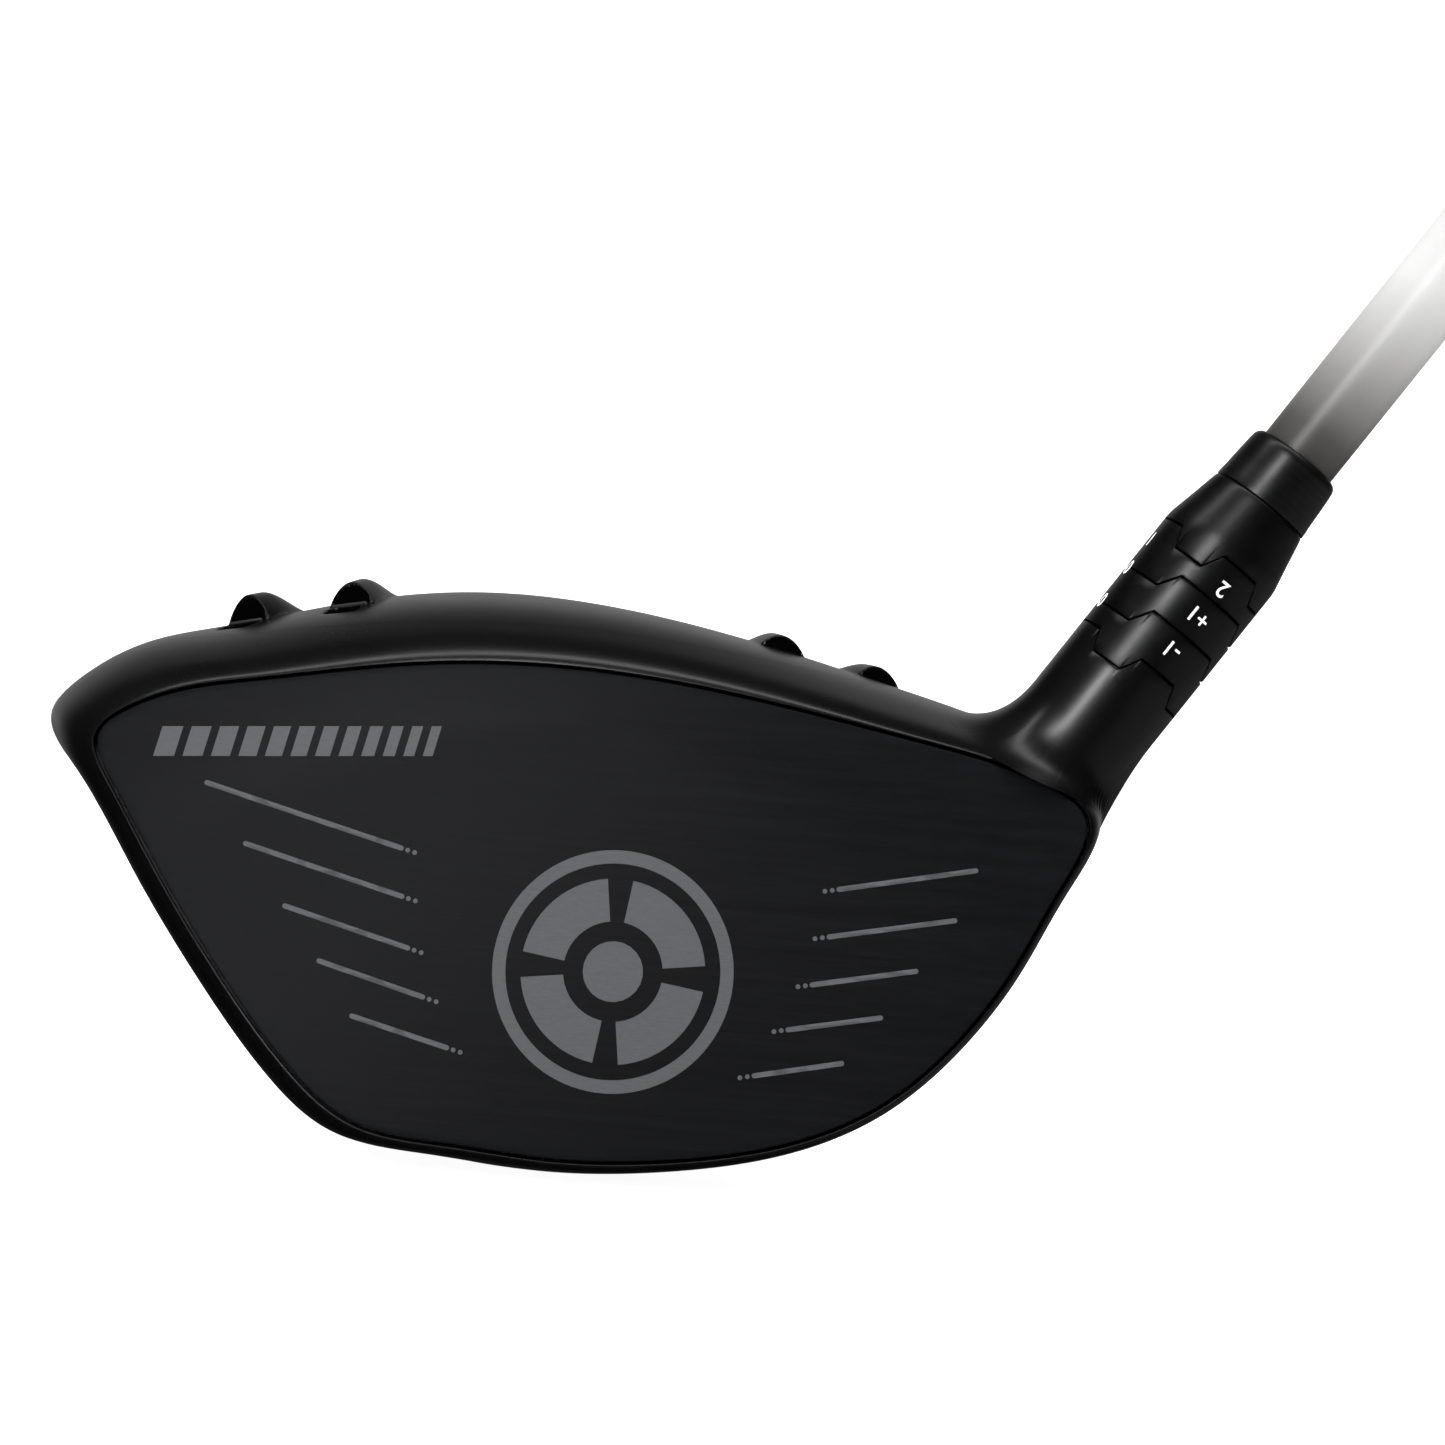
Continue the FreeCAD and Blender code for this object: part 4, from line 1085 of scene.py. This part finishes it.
def plate():
    """Forged face: part of a sphere, with a fine chamfer and straight sides."""
    loops = [GROOVE_LOOP[::2] - step * GROOVE_OUT[::2] for step in (0.0, 0.05, 0.12, 0.22, 0.8)]
    flat, faces = net(loops, filling(FACE_OUTLINE, 1.6, 1.6))
    blocks = [onto_face(flat, 0.22 * rounded(outline_depth(flat, FACE_OUTLINE), 0.22))]
    blocks += [onto_face(loops[0], behind) for behind in (0.3, 1.2, 2.9)]
    count = len(loops[0])
    starts = [0] + [len(flat) + number * count for number in range(3)]
    for a, b in zip(starts, starts[1:]):
        for i in range(count):
            j = (i + 1) % count
            faces.append((a + i, a + j, b + j, b + i))
    piece = mesh_piece("face_plate_forged", np.concatenate(blocks), faces,
                       look["face_dark_brushed"])
    face_outwards(piece)
    keep_sharp(piece, 50)
    place(piece, "head", "face_dark_brushed", "face_plate")


plate()


def stroke(start, end, width):
    """Outline of a line with round ends."""
    start = np.array(start)
    run = np.array(end) - start
    length = np.linalg.norm(run)
    run = run / length
    side = np.array([-run[1], run[0]])
    steps = np.linspace(0, math.pi, 9)[:, None]
    shares = np.linspace(0, 1, max(int(length / 1.2), 2))[1:-1, None]
    cap = width / 2 * (np.cos(steps) * side - np.sin(steps) * run)
    line = shares * length * run - width / 2 * side
    end = start + length * run
    return np.concatenate([start + cap, start + line, end - cap, end - line])


def disc(middle, radius, count=20):
    """Outline of a dot."""
    turn = np.arange(count) / count * 2 * math.pi
    return middle + radius * np.stack([np.cos(turn), np.sin(turn)], axis=1)


def sector_band(middle, inner, outer, start, end, pitch=0.9):
    """Grid over a sector of a ring."""
    arcs = max(int(math.radians(abs(end - start)) * outer / pitch), 3)
    turn = np.radians(np.linspace(start, end, arcs + 1))
    depth = np.linspace(inner, outer, max(int((outer - inner) / pitch), 1) + 1)
    points = []
    for radius in depth:
        points.append(np.array(middle) + radius * np.stack([np.sin(turn), np.cos(turn)], axis=1))
    return np.concatenate(points), grid_faces(len(depth), arcs + 1, False)


def face_marks():
    """Score lines, aiming dots, a plain target and a row of bars, etched into the face."""
    lines = [((-48.0, 41.4), (-25.0, 35.9)), ((-42.8, 34.9), (-24.4, 30.5)),
             ((-37.6, 28.3), (-23.2, 24.8)), ((-33.1, 22.5), (-21.0, 19.5)),
             ((-28.8, 16.7), (-17.8, 14.1)), ((40.2, 38.6), (24.8, 35.3)),
             ((38.2, 32.8), (24.1, 29.9)), ((34.2, 26.8), (22.6, 24.4)),
             ((30.6, 21.3), (20.3, 19.2)), ((26.6, 15.9), (16.9, 13.8))]
    shapes = []
    for outer, inner in lines:
        shapes.append(net([stroke(outer, inner, 0.58)]))
        run = np.array(inner) - np.array(outer)
        run = run / np.linalg.norm(run)
        for gap in (0.78, 1.62):
            shapes.append(net([disc(np.array(inner) + gap * run, 0.27)]))
    quarters = [(5.6, 10.4, start + 8, start + 82) for start in (0, 90, 180, 270)]
    for band in ((12.1, 13.6, 0, 360), *quarters, (0.02, 3.4, 0, 360)):
        shapes.append(sector_band((0.1, 24.1), *band))
    along = np.array([math.cos(ROLL), math.sin(ROLL)])
    up = np.array([-math.sin(ROLL), math.cos(ROLL)])
    slant = up * 3.4 + along * 1.0
    low = np.array([-54.6, 43.9])
    for number in range(12):
        wide = 2.45 - 0.12 * number
        right = low + along * wide
        shapes.append((np.array([low, right, right + slant / 2, right + slant, low + slant,
                                 low + slant / 2]), [(0, 1, 2, 5), (5, 2, 3, 4)]))
        low = right + along * 0.98
    points, faces = gathered(shapes)
    piece = mesh_piece("face_marks", onto_face(points, -0.02), faces, look["mark_etched"])
    for polygon in piece.data.polygons:
        if polygon.normal.y > 0:
            polygon.flip()
    place(piece, "head", "face_dark_brushed")


face_marks()


# ---- camera, floor and light

camera_data = bpy.data.cameras.new("camera")
camera_data.sensor_width = 36.0
camera_data.lens = 108.4
camera_data.clip_start = 0.01
camera_data.clip_end = 20.0
camera = bpy.data.objects.new("camera", camera_data)
bpy.context.scene.collection.objects.link(camera)
turned_view = Matrix(((math.cos(ROLL), 0.0, math.sin(ROLL)),
                      (-math.sin(ROLL), 0.0, math.cos(ROLL)),
                      (0.0, -1.0, 0.0))).transposed().to_4x4()
camera.matrix_world = Matrix.Translation(Vector((10.1, -515.0, 53.05)) * MM) @ turned_view
bpy.context.scene.camera = camera


def stage_piece(name, points, faces, colour, emission, **hidden):
    """Plain studio surface that glows a little. Reflections never show it."""
    finish = Finish(f"{name}_white", Roughness=0.9, Specular_IOR_Level=0.0,
                    Emission_Color=(1, 1, 1, 1), Emission_Strength=emission)
    finish.paint(finish.noise(8, 2.0), [(0.0, (colour,) * 3), (1.0, (colour * 1.01,) * 3)])
    piece = mesh_piece(name, points, faces, finish.material, False)
    piece.visible_glossy = False
    for kind, value in hidden.items():
        setattr(piece, kind, value)


# the surround is a wall all the way round, which only the camera sees
SHEET = [(0, 1, 2, 3)]
around = np.arange(64) / 64 * 2 * math.pi
wall = np.stack([7500 * np.cos(around), 7500 * np.sin(around), 0 * around], axis=1)
stage_piece("floor", [(-8000, -8000, 0), (8000, -8000, 0), (8000, 8000, 0), (-8000, 8000, 0)],
            SHEET, 0.45, 0.95)
stage_piece("backdrop", [(-6000, 2200, -1), (6000, 2200, -1), (6000, 2200, 5000),
                         (-6000, 2200, 5000)], SHEET, 0.86, 1.0, visible_camera=False)
stage_piece("surround", np.concatenate([wall + (0, 0, -60), wall + (0, 0, 5200)]),
            grid_faces(2, 64) + [tuple(range(64, 128))], 0.86, 1.0,
            visible_diffuse=False, visible_shadow=False)


def lamp(name, where, target, size, power, seen=True, upright=(0.0, 0.0, 1.0)):
    """Rectangular softbox that looks at a target. All lengths in metres."""
    light = bpy.data.lights.new(name, "AREA")
    light.shape = "RECTANGLE"
    light.size, light.size_y = size
    light.energy = power
    holder = bpy.data.objects.new(name, light)
    holder.location = where
    back = (Vector(where) - Vector(target)).normalized()
    across = Vector(upright).cross(back).normalized()
    turn = Matrix((across, back.cross(across), back)).transposed()
    holder.rotation_euler = turn.to_euler()
    holder.visible_glossy = seen
    holder.visible_camera = False
    bpy.context.scene.collection.objects.link(holder)


def surroundings():
    """Dark room that grows lighter low down behind the object, and a little at its heel."""
    world = bpy.data.worlds.new("studio")
    bpy.context.scene.world = world
    room = Nodes(world)
    split = room.node("ShaderNodeSeparateXYZ")
    room.link(room.node("ShaderNodeTexCoord").outputs["Generated"], split.inputs[0])
    # smooth steps over the view direction: axis, low and high value, start and end
    behind, above, heel, below = (
        room.remap(split.outputs[axis], *steps, interpolation_type="SMOOTHSTEP")
        for axis, *steps in (("Y", 0.005, 0.42, 0.60, 1.0), ("Z", 0.05, 1.0, -0.25, 0.05),
                             ("X", 0.0, 0.16, 0.25, 0.75), ("Z", 0.0, 1.0, -0.05, -0.30)))
    background = room.tree.nodes["Background"]
    background.inputs["Color"].default_value = (1.0, 1.0, 1.0, 1.0)
    room.link(room.mixed(behind, above, heel, below), background.inputs["Strength"])


surroundings()
bpy.context.scene.view_settings.view_transform = "Standard"
lamp("fill", (0.0, 0.2, 2.2), (0.0, 0.2, 0.0), (4.0, 4.0), 230, False, (0.0, 1.0, 0.0))
lamp("key", (0.0, -0.30, 1.5), (0.0, 0.0, 0.05), (2.2, 0.35), 8)
lamp("strip", (-0.34, -0.87, 0.35), (0.06, 0.0, 0.08), (0.16, 0.9), 7, True, AXIS)

# CAD nodes that are shown as they are, each in its finish
for node, finish in (("hosel_screw", "screw_steel"), ("screw_washer", "nylon_black"),
                     ("screw_retainer", "nylon_black"), ("shaft_tip_plug", "nylon_black"),
                     ("grip_tape", "tape_cream"), ("grip", "grip_rubber"),
                     ("grip_cap", "grip_rubber"), ("rear_weight", "weight_steel_rear"),
                     ("front_weight", "weight_steel_front"), ("rear_weight_seal", "seal_rubber"),
                     ("front_weight_seal", "seal_rubber")):
    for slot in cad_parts[node].material_slots:
        slot.material = look[finish]
